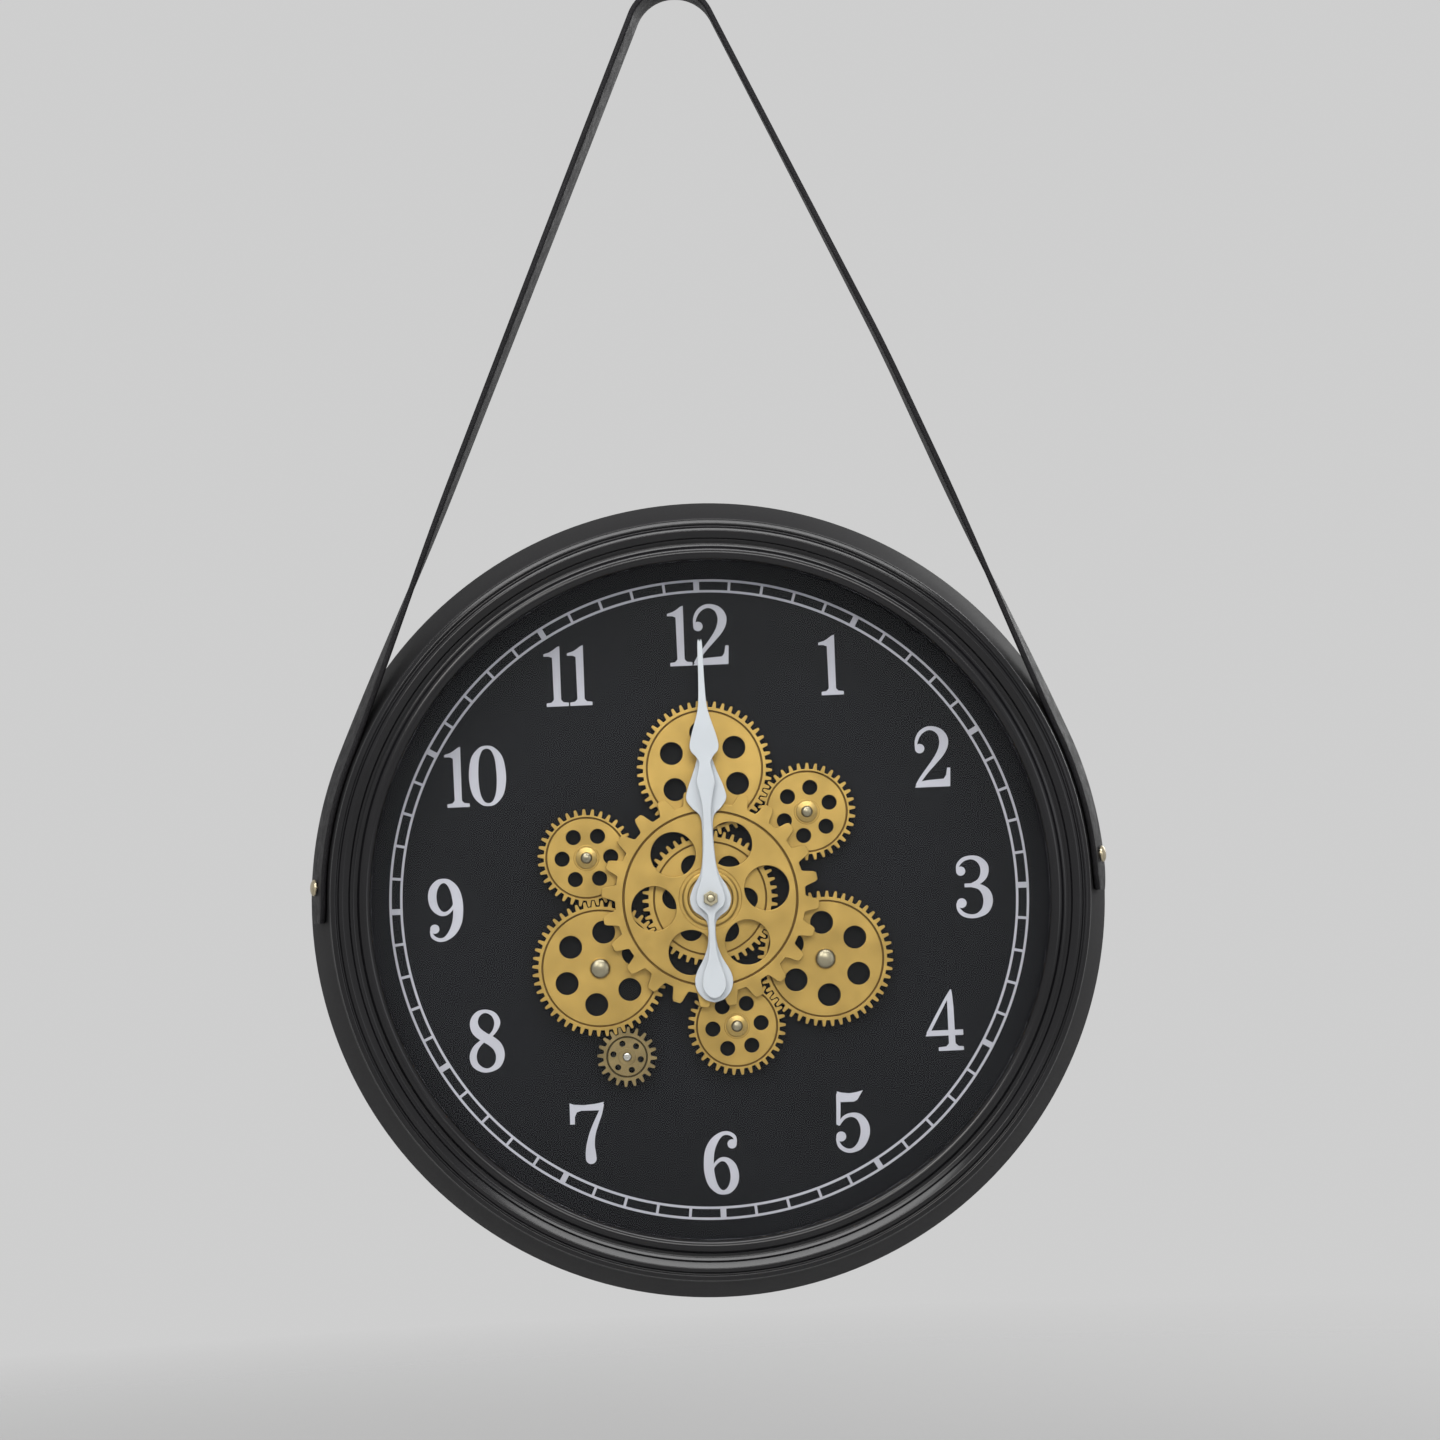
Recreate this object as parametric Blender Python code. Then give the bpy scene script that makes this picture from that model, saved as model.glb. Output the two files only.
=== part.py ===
# Wall clock with a train of turning wheels in front of its dial, hung by a leather strap.
#
# Sizes are in millimetres and the mesh helpers turn them into metres.
# Inside the clock a place is (x, depth, z): x to the right and z up from the hands' axis, and depth
# forward from the wall. The front faces -Y. The world's origin is the point where a hook takes the strap.

import bpy
import bmesh
from math import asin, ceil, cos, degrees, pi, radians, sin, sqrt, tan
from mathutils import Matrix, Vector

MM = 0.001
GAP = 0.3                       # clearance between pieces that touch

# Case, from the wall forward
CASE_RADIUS = 200.0
CASE_RIM_DEPTH = 6.0            # straight rim before the wall tapers
WALL_FRONT_RADIUS = 188.2
WALL_FRONT_DEPTH = 49.0
WALL_THICKNESS = 2.6
LEDGE_RADIUS = 168.0            # inner edge of the ledge that carries the dial
LEDGE_THICKNESS = 2.7
DIAL_BACK = 20.0
DIAL_FRONT = 22.0
DIAL_RADIUS = 178.0
SPACER_RADIUS = 171.0           # inner wall between dial and glass
SPACER_WALL = 3.0
SPACER_FLANGE = 2.2
GLASS_BACK = 51.0
GLASS_FRONT = 54.0
GLASS_RADIUS = 178.0
BEZEL_OPENING = 166.6
BEZEL_SPIGOT_DEPTH = 44.0
BEZEL_VALLEY = (175.0, 57.4)    # radius and depth of the groove between the two mouldings
BEZEL_CREST = (180.9, 62.0)
BEZEL_STEP = (177.7, 59.9)      # small step half way down from the crest to the valley
BEZEL_RIDGE = (184.3, 60.4)
BEAD_RADIUS = 3.6
COVER_THICKNESS = 3.0
COVER_BOSS_RADIUS = 5.0
COVER_BOSS_CIRCLE = 176.0
COVER_BOSS_ANGLES = (45, 135, 225, 315)

# Strap
STRAP_WIDTH = 25.0
STRAP_THICKNESS = 2.8
STRAP_DEPTH = 35.0              # depth of the strap's middle
HANG_DROP = 453.5               # from the hook down to the hands' axis
HOOK_RADIUS = 20.0
STRAP_SCREW_ANGLE = 4.0         # degrees above the hands' axis
STRAP_END_ANGLE = -1.2
STRAP_UNTWIST = 150.0           # length over which a leg turns from the wall's slope to square
STRAP_SCREW_RADIUS = 2.0

# Wheel train: every fine wheel has the same module, so that all of them mesh
MODULE = 1.35
LARGE_TEETH = 48
SMALL_TEETH = 34
PINION_TEETH = 20
ORBIT = MODULE * LARGE_TEETH    # centre wheel to a large wheel
LARGE_ANGLES = {"top": 90.0, "lower_left": 210.0, "lower_right": 330.0}
SMALL_STEP = 2 * degrees(asin(MODULE * (LARGE_TEETH + SMALL_TEETH) / 4 / ORBIT))
SMALL_DRIVERS = {"upper_right": "top", "left": "lower_left", "bottom": "lower_right"}
PINION_ANGLE = 284.5            # direction from the lower left wheel to the pinion
FLANK_SLOPE = tan(radians(20))
TOOTH_SHARE = 0.42              # tooth thickness as a share of the pitch, the rest is backlash
WHEEL_BACK = 26.0
WHEEL_FRONT = 30.0
FRONT_WHEEL_BACK = 33.0
FRONT_WHEEL_FRONT = 37.0
RECESS = 0.8                    # the web lies this far below the toothed rim
BORE_RADIUS = 3.0
CENTRE_BORE_RADIUS = 6.0

# Wheel faces: radius of the recessed web, hole circle, hole radius, hole facets
LARGE_FACE = (28.4, 18.1, 5.7, 10)
SMALL_FACE = (18.4, 12.1, 3.75, 8)
PINION_FACE = (10.3, 6.9, 1.5, 6)
FRONT_FACE = (43.7, 28.5, 11.2, 14)
HOLE_COUNT = 6
HOLE_ANGLES = {
    "top": 33.3, "lower_left": 22.1, "lower_right": 33.5,
    "upper_right": 20.1, "left": 0.5, "bottom": 5.0,
    "pinion": 47.5, "centre": -3.5, "front": 8.0,
}
FRONT_TEETH = 24
FRONT_TIP_RADIUS = 54.1
FRONT_ROOT_RADIUS = 47.4
FRONT_TOOTH_ANGLE = 9.5
FRONT_TIP_HALF = 1.9
FRONT_SHOULDER_HALF = 2.6
FRONT_ROOT_HALF = 4.2

# Arbors and posts
POST_FLANGE_RADIUS = 5.0
POST_RADIUS = 2.7
POST_TAIL_RADIUS = 2.0
SCREW_RADIUS = 1.2
BUSHING_RADIUS = 5.7
BUSHING_BORE = 4.95
BUSHING_FRONT = 39.3
HUB_WASHER_RADIUS = 14.0
HOUR_PIPE_RADIUS = 4.6
HOUR_SEAT_RADIUS = 4.0
HOUR_PIPE_BORE = 2.9
MINUTE_ARBOR_RADIUS = 2.5
MINUTE_SEAT_RADIUS = 1.8
HOUR_HAND_BACK = 40.0
MINUTE_HAND_BACK = 43.2
HAND_THICKNESS = 1.1
HAND_NUT_RADIUS = 3.9

# Half widths of the hands at places along them, tail first
MINUTE_STATIONS = (
    (-49.5, 0), (-48.2, 3.0), (-44, 5.6), (-38, 5.2), (-30, 2.6), (-22, 1.6), (-10, 1.6), (-6.6, 3.0),
    (-3.6, 6.2), (0, 7.1), (4.5, 6.2), (10, 4.4), (20, 3.0), (30, 2.3), (44, 2.1), (52, 3.4), (58, 4.6),
    (63.5, 3.6), (68.5, 2.5), (72.5, 4.6), (77.5, 7.4), (83, 6.2), (90, 3.6), (98, 2.0), (112, 1.4),
    (128.6, 1.1), (129.7, 0),
)
HOUR_STATIONS = (
    (-51.5, 0), (-50, 4.6), (-46, 8.2), (-41, 9.4), (-36, 8.2), (-29, 4.4), (-22, 2.2), (-13, 2.0),
    (-9.4, 4.0), (-5.6, 8.6), (0, 10.2), (6, 8.2), (12, 4.8), (20, 3.2), (34, 2.7), (41, 3.6), (46, 7.2),
    (51, 9.9), (57, 8.4), (64, 5.2), (74, 2.6), (84.6, 1.2), (86, 0),
)

# Works behind the dial
MOVEMENT_SIZE = 56.0
MOVEMENT_BACK = 3.7
MOVEMENT_CHAMFER = 4.0
CELL_RADIUS = 7.0
CELL_LENGTH = 49.0
CELL_BAY = (52.0, 15.0)
CELL_BAY_FLOOR = 18.3
TIME_CELL_Z = -18.5
KNOB_PLACE = (12.0, 12.0)
KNOB_RADIUS = 7.5
BOX_PLACE = (40.0, -82.0)
BOX_SIZE = (58.0, 34.0)
BOX_BAY = (52.0, 30.0)
WINDOW_CLEARANCE = 2.0          # between a window in the back cover and what shows in it
MOTOR_SIZE = (46.0, 32.0)
MOTOR_CAN_RADIUS = 13.0
MOTOR_NOSE_RADIUS = 4.5
MOTOR_SHAFT_RADIUS = 2.0

RING_FACETS = 48                # all large rings share their facets, so that their gaps stay even
SMALL_FACETS = 8

FINISHES = {                    # colour, roughness, metallic
    "black_lacquer": ((0.012, 0.012, 0.014, 1), 0.38, 0.0),
    "black_dial": ((0.010, 0.010, 0.012, 1), 0.55, 0.0),
    "black_plastic": ((0.022, 0.022, 0.024, 1), 0.6, 0.0),
    "clear_glass": ((0.9, 0.95, 0.95, 0.2), 0.03, 0.0),
    "gold_wheel": ((0.62, 0.42, 0.14, 1), 0.42, 0.85),
    "bronze_wheel": ((0.30, 0.22, 0.11, 1), 0.5, 0.85),
    "nickel": ((0.62, 0.60, 0.56, 1), 0.3, 1.0),
    "brass": ((0.60, 0.50, 0.24, 1), 0.32, 1.0),
    "white_hand": ((0.80, 0.80, 0.82, 1), 0.45, 0.0),
    "dark_leather": ((0.030, 0.028, 0.028, 1), 0.62, 0.0),
    "cell_wrap": ((0.05, 0.16, 0.30, 1), 0.4, 0.0),
}


# Small geometry helpers

def wall_radius(depth):
    """Outer radius of the case wall at a depth."""
    taper = (CASE_RADIUS - WALL_FRONT_RADIUS) / (WALL_FRONT_DEPTH - CASE_RIM_DEPTH)
    return CASE_RADIUS - max(0.0, depth - CASE_RIM_DEPTH) * taper


def polar(radius, angle):
    return radius * cos(radians(angle)), radius * sin(radians(angle))


def circle(radius, facets, centre=(0.0, 0.0), start=0.0):
    points = (polar(radius, start + 360 * i / facets) for i in range(facets))
    return [(centre[0] + x, centre[1] + z) for x, z in points]


def rectangle(width, height, chamfer=0.0, centre=(0.0, 0.0)):
    a, b = width / 2, height / 2
    corners = ((a, b), (-a, b), (-a, -b), (a, -b))
    if not chamfer:
        return [(centre[0] + x, centre[1] + z) for x, z in corners]
    cut = []
    for x, z in corners:
        along_x = (x - chamfer * (1 if x > 0 else -1), z)
        along_z = (x, z - chamfer * (1 if z > 0 else -1))
        cut += [along_z, along_x] if x * z > 0 else [along_x, along_z]
    return [(centre[0] + x, centre[1] + z) for x, z in cut]


def finish(name):
    """The named material, made the first time it is asked for."""
    if name in bpy.data.materials:
        return bpy.data.materials[name]
    colour, roughness, metallic = FINISHES[name]
    material = bpy.data.materials.new(name)
    material.use_nodes = True
    shader = material.node_tree.nodes["Principled BSDF"]
    shader.inputs["Base Color"].default_value = colour
    shader.inputs["Roughness"].default_value = roughness
    shader.inputs["Metallic"].default_value = metallic
    shader.inputs["Alpha"].default_value = colour[3]
    material.diffuse_color = colour
    return material


def place(name, bm, finish_name, at=(0.0, 0.0), turn=None):
    """Make an object of a mesh in millimetres, on the axis at x, z of the clock."""
    bmesh.ops.recalc_face_normals(bm, faces=bm.faces)
    bmesh.ops.scale(bm, vec=(MM, MM, MM), verts=bm.verts)
    mesh = bpy.data.meshes.new(name)
    bm.to_mesh(mesh)
    bm.free()
    mesh.shade_smooth()
    mesh.set_sharp_from_angle(angle=radians(35))
    mesh.materials.append(finish(finish_name))
    piece = bpy.data.objects.new(name, mesh)
    bpy.context.scene.collection.objects.link(piece)
    piece.parent = clock
    if turn is None:
        piece.location = (at[0] * MM, 0.0, at[1] * MM)
    else:
        piece.matrix_local = turn
    return piece


def turned(profile, facets, start=0.0):
    """A closed profile of radius and depth turned about the axis."""
    bm = bmesh.new()
    rings = []
    for radius, depth in profile:
        if radius == 0:
            rings.append([bm.verts.new((0, -depth, 0))] * facets)
        else:
            rings.append([bm.verts.new((x, -depth, z)) for x, z in circle(radius, facets, start=start)])
    for first, second in zip(rings, rings[1:] + rings[:1]):
        for i in range(facets):
            j = (i + 1) % facets
            corners = list(dict.fromkeys((first[i], first[j], second[j], second[i])))
            if len(corners) > 2:
                bm.faces.new(corners)
    return bm


class Terraces:
    """A solid of flat levels: loops are walls between two depths, and a level fills between its loops."""

    def __init__(self):
        self.bm = bmesh.new()
        self.rings = {}

    def ring(self, loop, depth):
        key = (id(loop), depth)
        if key not in self.rings:
            self.rings[key] = [self.bm.verts.new((x, -depth, z)) for x, z in loop]
        return self.rings[key]

    def wall(self, loop, back, front):
        near, far = self.ring(loop, front), self.ring(loop, back)
        for i in range(len(loop)):
            j = (i + 1) % len(loop)
            self.bm.faces.new((near[i], near[j], far[j], far[i]))

    def level(self, depth, loops):
        edges = []
        for loop in loops:
            ring = self.ring(loop, depth)
            for a, b in zip(ring, ring[1:] + ring[:1]):
                edges.append(self.bm.edges.get((a, b)) or self.bm.edges.new((a, b)))
        bmesh.ops.triangle_fill(self.bm, use_beauty=True, edges=edges)


def plate(outline, holes, back, front):
    """A flat plate with holes right through it."""
    solid = Terraces()
    for loop in [outline] + holes:
        solid.wall(loop, back, front)
    solid.level(back, [outline] + holes)
    solid.level(front, [outline] + holes)
    return solid.bm


def cut(piece, cutter_mesh, name, turn=None):
    """Cut a hole with a hidden cutter."""
    cutter = place(f"{name}_cutter", cutter_mesh, "black_plastic", turn=turn)
    cutter.hide_render = True
    cutter.display_type = "WIRE"
    modifier = piece.modifiers.new(name, "BOOLEAN")
    modifier.operation = "DIFFERENCE"
    modifier.object = cutter


def drill(radius, back, front, at, facets=SMALL_FACETS):
    """A round cutter along the clock's axis."""
    bm = turned(((0, back), (radius, back), (radius, front), (0, front)), facets)
    bmesh.ops.translate(bm, vec=(at[0], 0, at[1]), verts=bm.verts)
    return bm


# Case

def build_case():
    wall_inside = wall_radius(DIAL_BACK) - WALL_THICKNESS
    ledge_back = DIAL_BACK - GAP - LEDGE_THICKNESS
    drum = place("case_drum", turned((
        (CASE_RADIUS, 0),
        (CASE_RADIUS, CASE_RIM_DEPTH),
        (WALL_FRONT_RADIUS, WALL_FRONT_DEPTH),
        (WALL_FRONT_RADIUS - WALL_THICKNESS, WALL_FRONT_DEPTH),
        (wall_inside, DIAL_BACK - GAP),
        (LEDGE_RADIUS, DIAL_BACK - GAP),
        (LEDGE_RADIUS, ledge_back),
        (wall_radius(ledge_back) - WALL_THICKNESS, ledge_back),
        (CASE_RADIUS - WALL_THICKNESS, CASE_RIM_DEPTH),
        (CASE_RADIUS - WALL_THICKNESS, 0),
    ), RING_FACETS), "black_lacquer")

    cover_radius = CASE_RADIUS - WALL_THICKNESS - GAP
    movement_window = rectangle(*[MOVEMENT_SIZE + 2 * WINDOW_CLEARANCE] * 2)
    box_window = rectangle(*[side + 2 * WINDOW_CLEARANCE for side in BOX_SIZE], centre=BOX_PLACE)
    outline = circle(cover_radius, RING_FACETS)
    bosses = [polar(COVER_BOSS_CIRCLE, angle) for angle in COVER_BOSS_ANGLES]
    head_holes = [circle(3.5, SMALL_FACETS, centre) for centre in bosses]
    shank_holes = [circle(1.8, SMALL_FACETS, centre) for centre in bosses]
    boss_walls = [circle(COVER_BOSS_RADIUS, SMALL_FACETS, centre) for centre in bosses]
    head_floor, boss_front = 2.2, ledge_back - GAP
    cover = Terraces()
    cover.wall(outline, 0, COVER_THICKNESS)
    for window in (movement_window, box_window):
        cover.wall(window, 0, COVER_THICKNESS)
    for head, shank, boss in zip(head_holes, shank_holes, boss_walls):
        cover.wall(head, 0, head_floor)
        cover.level(head_floor, [head, shank])
        cover.wall(shank, head_floor, boss_front)
        cover.level(boss_front, [boss, shank])
        cover.wall(boss, COVER_THICKNESS, boss_front)
    cover.level(0, [outline, movement_window, box_window] + head_holes)
    cover.level(COVER_THICKNESS, [outline, movement_window, box_window] + boss_walls)
    place("back_cover", cover.bm, "black_plastic")

    for number, centre in enumerate(bosses, 1):
        tip = DIAL_BACK - 1.2
        place(f"back_screw_{number}", turned((
            (0, 0.2), (3.0, 0.2), (3.2, 0.9), (1.5, head_floor - GAP), (1.5, tip), (0, tip),
        ), SMALL_FACETS), "nickel", at=centre)
        cut(drum, drill(1.8, ledge_back - 2, DIAL_BACK + 2, centre), f"ledge_hole_{number}")

    posts = [place_of[name] for name in satellites]
    holes = [circle(CENTRE_BORE_RADIUS, 12)]
    holes += [circle(POST_TAIL_RADIUS + GAP, SMALL_FACETS, centre) for centre in posts]
    holes.append(circle(MOTOR_NOSE_RADIUS + GAP, SMALL_FACETS, place_of["pinion"]))
    place("dial_plate", plate(circle(DIAL_RADIUS, RING_FACETS), holes, DIAL_BACK, DIAL_FRONT), "black_dial")

    inner, wall = SPACER_RADIUS, SPACER_RADIUS + SPACER_WALL
    back, front = DIAL_FRONT + GAP, GLASS_BACK - GAP
    place("spacer_ring", turned((
        (inner, back), (DIAL_RADIUS, back), (DIAL_RADIUS, back + SPACER_FLANGE),
        (wall, back + SPACER_FLANGE), (wall, front), (inner, front),
    ), RING_FACETS), "black_plastic")
    place("front_glass", turned((
        (0, GLASS_BACK), (GLASS_RADIUS, GLASS_BACK), (GLASS_RADIUS, GLASS_FRONT), (0, GLASS_FRONT),
    ), RING_FACETS), "clear_glass")
    return drum


def build_bezel():
    """Moulded front ring: double ridge, stepped slope into a valley, and a round bead next to the glass."""
    seat = WALL_FRONT_DEPTH + GAP
    spigot = WALL_FRONT_RADIUS - WALL_THICKNESS - GAP
    bead_middle = (BEZEL_OPENING + BEAD_RADIUS, BEZEL_VALLEY[1] - 0.6)
    bead = [(bead_middle[0] + BEAD_RADIUS * cos(a), bead_middle[1] + BEAD_RADIUS * sin(a))
            for a in (radians(35 + 50 * i) for i in range(4))]
    profile = [
        (spigot, seat),
        (WALL_FRONT_RADIUS, seat),
        (BEZEL_RIDGE[0] + 2.2, BEZEL_RIDGE[1] - 2.4),
        BEZEL_RIDGE,
        (BEZEL_RIDGE[0] - 1.3, BEZEL_RIDGE[1] - 0.9),
        BEZEL_CREST,
        BEZEL_STEP,
        (BEZEL_STEP[0] - 0.35, BEZEL_STEP[1] - 0.9),
        BEZEL_VALLEY,
    ] + bead + [
        (BEZEL_OPENING, GLASS_FRONT + GAP),
        (GLASS_RADIUS + GAP, GLASS_FRONT + GAP),
        (GLASS_RADIUS + GAP, BEZEL_SPIGOT_DEPTH),
        (spigot, BEZEL_SPIGOT_DEPTH),
    ]
    place("bezel_ring", turned(profile, RING_FACETS), "black_lacquer")


# Strap

def strap_stations():
    """Centre line of the right half, from the hook to the end, as place, direction along and wall slope."""
    slope = asin((CASE_RADIUS - WALL_FRONT_RADIUS) / sqrt(
        (CASE_RADIUS - WALL_FRONT_RADIUS) ** 2 + (WALL_FRONT_DEPTH - CASE_RIM_DEPTH) ** 2))
    half = STRAP_THICKNESS / 2
    wrap = wall_radius(STRAP_DEPTH) + (GAP + half) / cos(slope) + GAP
    bend = HOOK_RADIUS + half
    bend_z = HANG_DROP - HOOK_RADIUS
    leave = degrees(asin((wrap - bend) / bend_z))      # angle where the leg leaves the case and the hook
    stations = []
    for i in range(5):
        angle = 90 - (90 - leave) * i / 4
        x, z = polar(bend, angle)
        stations.append((x, bend_z + z, angle, 0.0))
    start, end = polar(bend, leave), polar(wrap, leave)
    leg = sqrt((end[0] - start[0]) ** 2 + (end[1] - bend_z - start[1]) ** 2)
    for share in (0.3, 0.6, 0.7, 0.8, 0.9, 1.0):
        left = leg * (1 - share)
        ease = max(0.0, 1 - left / STRAP_UNTWIST)
        x = start[0] + (end[0] - start[0]) * share
        z = bend_z + start[1] + (end[1] - bend_z - start[1]) * share
        stations.append((x, z, leave, slope * ease * ease * (3 - 2 * ease)))
    steps = ceil((leave - STRAP_END_ANGLE) / 3.5)
    for i in range(1, steps + 1):
        angle = leave + (STRAP_END_ANGLE - leave) * i / steps
        stations.append((*polar(wrap, angle), angle, slope))
    return stations, slope


def build_strap(drum):
    right, slope = strap_stations()
    left = [(-x, z, 180 - angle, tilt) for x, z, angle, tilt in reversed(right[1:])]
    bm = bmesh.new()
    rings = []
    for number, (x, z, angle, tilt) in enumerate(left + right):
        outward = Vector((cos(radians(angle)), 0, sin(radians(angle))))
        forward = Vector((0, -1, 0))
        across = forward * cos(tilt) - outward * sin(tilt)
        through = outward * cos(tilt) + forward * sin(tilt)
        middle = Vector((x, -STRAP_DEPTH, z))
        is_end = number in (0, len(left + right) - 1)
        half_width = STRAP_WIDTH / 2 - (4.0 if is_end else 0.0)
        half = STRAP_THICKNESS / 2
        corners = ((half_width, half), (-half_width, half), (-half_width, -half), (half_width, -half))
        rings.append([bm.verts.new(middle + across * a + through * b) for a, b in corners])
    for first, second in zip(rings, rings[1:]):
        for i in range(4):
            j = (i + 1) % 4
            bm.faces.new((first[i], first[j], second[j], second[i]))
    bm.faces.new(rings[0])
    bm.faces.new(rings[-1])
    strap = place("hanging_strap", bm, "dark_leather")

    for side, angle in (("right", STRAP_SCREW_ANGLE), ("left", 180 - STRAP_SCREW_ANGLE)):
        flat = Vector((*polar(1, angle), 0)).xzy
        outward = flat * cos(slope) + Vector((0, -sin(slope), 0))
        foot = flat * wall_radius(STRAP_DEPTH) + Vector((0, -STRAP_DEPTH, 0))
        aim = Vector((0, -1, 0)).rotation_difference(outward).to_matrix().to_4x4()
        turn = Matrix.Translation(foot * MM) @ aim
        shank, hole = STRAP_SCREW_RADIUS, STRAP_SCREW_RADIUS + GAP
        head = STRAP_THICKNESS + 4 * GAP
        inside = -WALL_THICKNESS - 2 * GAP
        place(f"strap_screw_{side}", turned((
            (0, inside - 4), (shank, inside - 4), (shank, head), (4.1, head), (4.1, head + 0.9),
            (3.2, head + 1.9), (1.6, head + 2.4), (0, head + 2.4),
        ), SMALL_FACETS), "brass", turn=turn)
        place(f"strap_nut_{side}", turned((
            (hole, inside - 3), (4.0, inside - 3), (4.0, inside), (hole, inside),
        ), 6), "nickel", turn=turn)
        for piece, name in ((strap, "strap_hole"), (drum, "wall_hole")):
            bore = turned(((0, -9), (hole, -9), (hole, 9), (0, 9)), SMALL_FACETS)
            cut(piece, bore, f"{name}_{side}", turn)


# Wheel train

def gear_outline(teeth, phase):
    """Straight-flanked teeth of the train's module, with the first tooth at the phase angle."""
    pitch_radius = MODULE * teeth / 2
    levels = ((pitch_radius - 1.25 * MODULE, -1), (pitch_radius + MODULE, -1), (pitch_radius + MODULE, 1),
              (pitch_radius - 1.25 * MODULE, 1))
    outline = []
    for tooth in range(teeth):
        for radius, side in levels:
            half = TOOTH_SHARE * pi * MODULE / 2 - (radius - pitch_radius) * FLANK_SLOPE
            outline.append(polar(radius, phase + 360 * tooth / teeth + side * degrees(half / radius)))
    return outline


def front_outline():
    """Few broad teeth with sloped shoulders."""
    shoulder = FRONT_TIP_RADIUS - 1.3
    sides = ((FRONT_ROOT_RADIUS, FRONT_ROOT_HALF), (shoulder, FRONT_SHOULDER_HALF),
             (FRONT_TIP_RADIUS, FRONT_TIP_HALF))
    outline = []
    for tooth in range(FRONT_TEETH):
        middle = FRONT_TOOTH_ANGLE + 360 * tooth / FRONT_TEETH
        outline += [polar(radius, middle - degrees(half / radius)) for radius, half in sides]
        outline += [polar(radius, middle + degrees(half / radius)) for radius, half in reversed(sides)]
    return outline


def wheel(outline, face, hole_angle, back, front, bore, bore_facets, web_facets, hub=None):
    """A toothed rim round a lower web with six holes, and a hub that may stand out to a depth."""
    web_radius, hole_circle, hole_radius, hole_facets = face
    web = circle(web_radius, web_facets)
    holes = [circle(hole_radius, hole_facets, polar(hole_circle, hole_angle + 360 * i / HOLE_COUNT))
             for i in range(HOLE_COUNT)]
    bore_loop = circle(bore, bore_facets)
    floor = front - RECESS
    solid = Terraces()
    solid.wall(outline, back, front)
    solid.level(front, [outline, web])
    solid.wall(web, floor, front)
    for hole in holes:
        solid.wall(hole, back, floor)
    solid.level(back, [outline, bore_loop] + holes)
    if hub:
        hub_radius, hub_front = hub
        hub_loop = circle(hub_radius, bore_facets)
        solid.level(floor, [web, hub_loop] + holes)
        solid.wall(hub_loop, floor, hub_front)
        solid.level(hub_front, [hub_loop, bore_loop])
        solid.wall(bore_loop, back, hub_front)
    else:
        solid.level(floor, [web, bore_loop] + holes)
        solid.wall(bore_loop, back, floor)
    return solid.bm


def meshing_phase(phase, teeth, direction, mate_teeth):
    """Phase of a mate in that direction, so that its gap meets this wheel's tooth."""
    share = ((direction - phase) / 360 * teeth) % 1
    return direction + 180 - 360 / mate_teeth * (0.5 - share)


def train_places():
    """Centre of each wheel in the train."""
    places = {name: polar(ORBIT, angle) for name, angle in LARGE_ANGLES.items()}
    for name, driver in SMALL_DRIVERS.items():
        places[name] = polar(ORBIT, LARGE_ANGLES[driver] - SMALL_STEP)
    reach = polar(MODULE * (LARGE_TEETH + PINION_TEETH) / 2, PINION_ANGLE)
    x, z = places["lower_left"]
    places["pinion"] = (x + reach[0], z + reach[1])
    return places


def direction_to(name, mate):
    (x0, z0), (x1, z1) = place_of[name], place_of[mate]
    return degrees(Vector((x1 - x0, z1 - z0)).angle_signed(Vector((1, 0))))


def build_train():
    large_phases = {name: meshing_phase(0.0, LARGE_TEETH, angle, LARGE_TEETH)
                    for name, angle in LARGE_ANGLES.items()}
    large_sizes = (WHEEL_BACK, WHEEL_FRONT, BORE_RADIUS, SMALL_FACETS, 28)
    small_sizes = (WHEEL_BACK, WHEEL_FRONT, BORE_RADIUS, SMALL_FACETS, 22)
    for name, phase in large_phases.items():
        solid = wheel(gear_outline(LARGE_TEETH, phase), LARGE_FACE, HOLE_ANGLES[name], *large_sizes)
        place(f"{name}_wheel", solid, "gold_wheel", place_of[name])
    for name, driver in SMALL_DRIVERS.items():
        phase = meshing_phase(large_phases[driver], LARGE_TEETH, direction_to(driver, name), SMALL_TEETH)
        solid = wheel(gear_outline(SMALL_TEETH, phase), SMALL_FACE, HOLE_ANGLES[name], *small_sizes)
        place(f"{name}_wheel", solid, "gold_wheel", place_of[name])

    phase = meshing_phase(large_phases["lower_left"], LARGE_TEETH, PINION_ANGLE, PINION_TEETH)
    pinion = wheel(gear_outline(PINION_TEETH, phase), PINION_FACE, HOLE_ANGLES["pinion"],
                   WHEEL_BACK, WHEEL_FRONT, MOTOR_SHAFT_RADIUS + GAP, SMALL_FACETS, 16)
    place("drive_pinion", pinion, "bronze_wheel", place_of["pinion"])
    place("motor_shaft", turned((
        (0, 16), (MOTOR_SHAFT_RADIUS, 16), (MOTOR_SHAFT_RADIUS, WHEEL_FRONT), (1.4, WHEEL_FRONT + 0.6),
        (0, WHEEL_FRONT + 0.6),
    ), SMALL_FACETS), "nickel", place_of["pinion"])

    centre = wheel(gear_outline(LARGE_TEETH, 0.0), LARGE_FACE, HOLE_ANGLES["centre"],
                   WHEEL_BACK, WHEEL_FRONT, CENTRE_BORE_RADIUS, 12, 28, hub=(9.5, FRONT_WHEEL_BACK - GAP))
    place("centre_wheel", centre, "gold_wheel")
    front = wheel(front_outline(), FRONT_FACE, HOLE_ANGLES["front"], FRONT_WHEEL_BACK, FRONT_WHEEL_FRONT,
                  CENTRE_BORE_RADIUS, 12, 40)
    place("front_wheel", front, "gold_wheel")


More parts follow.
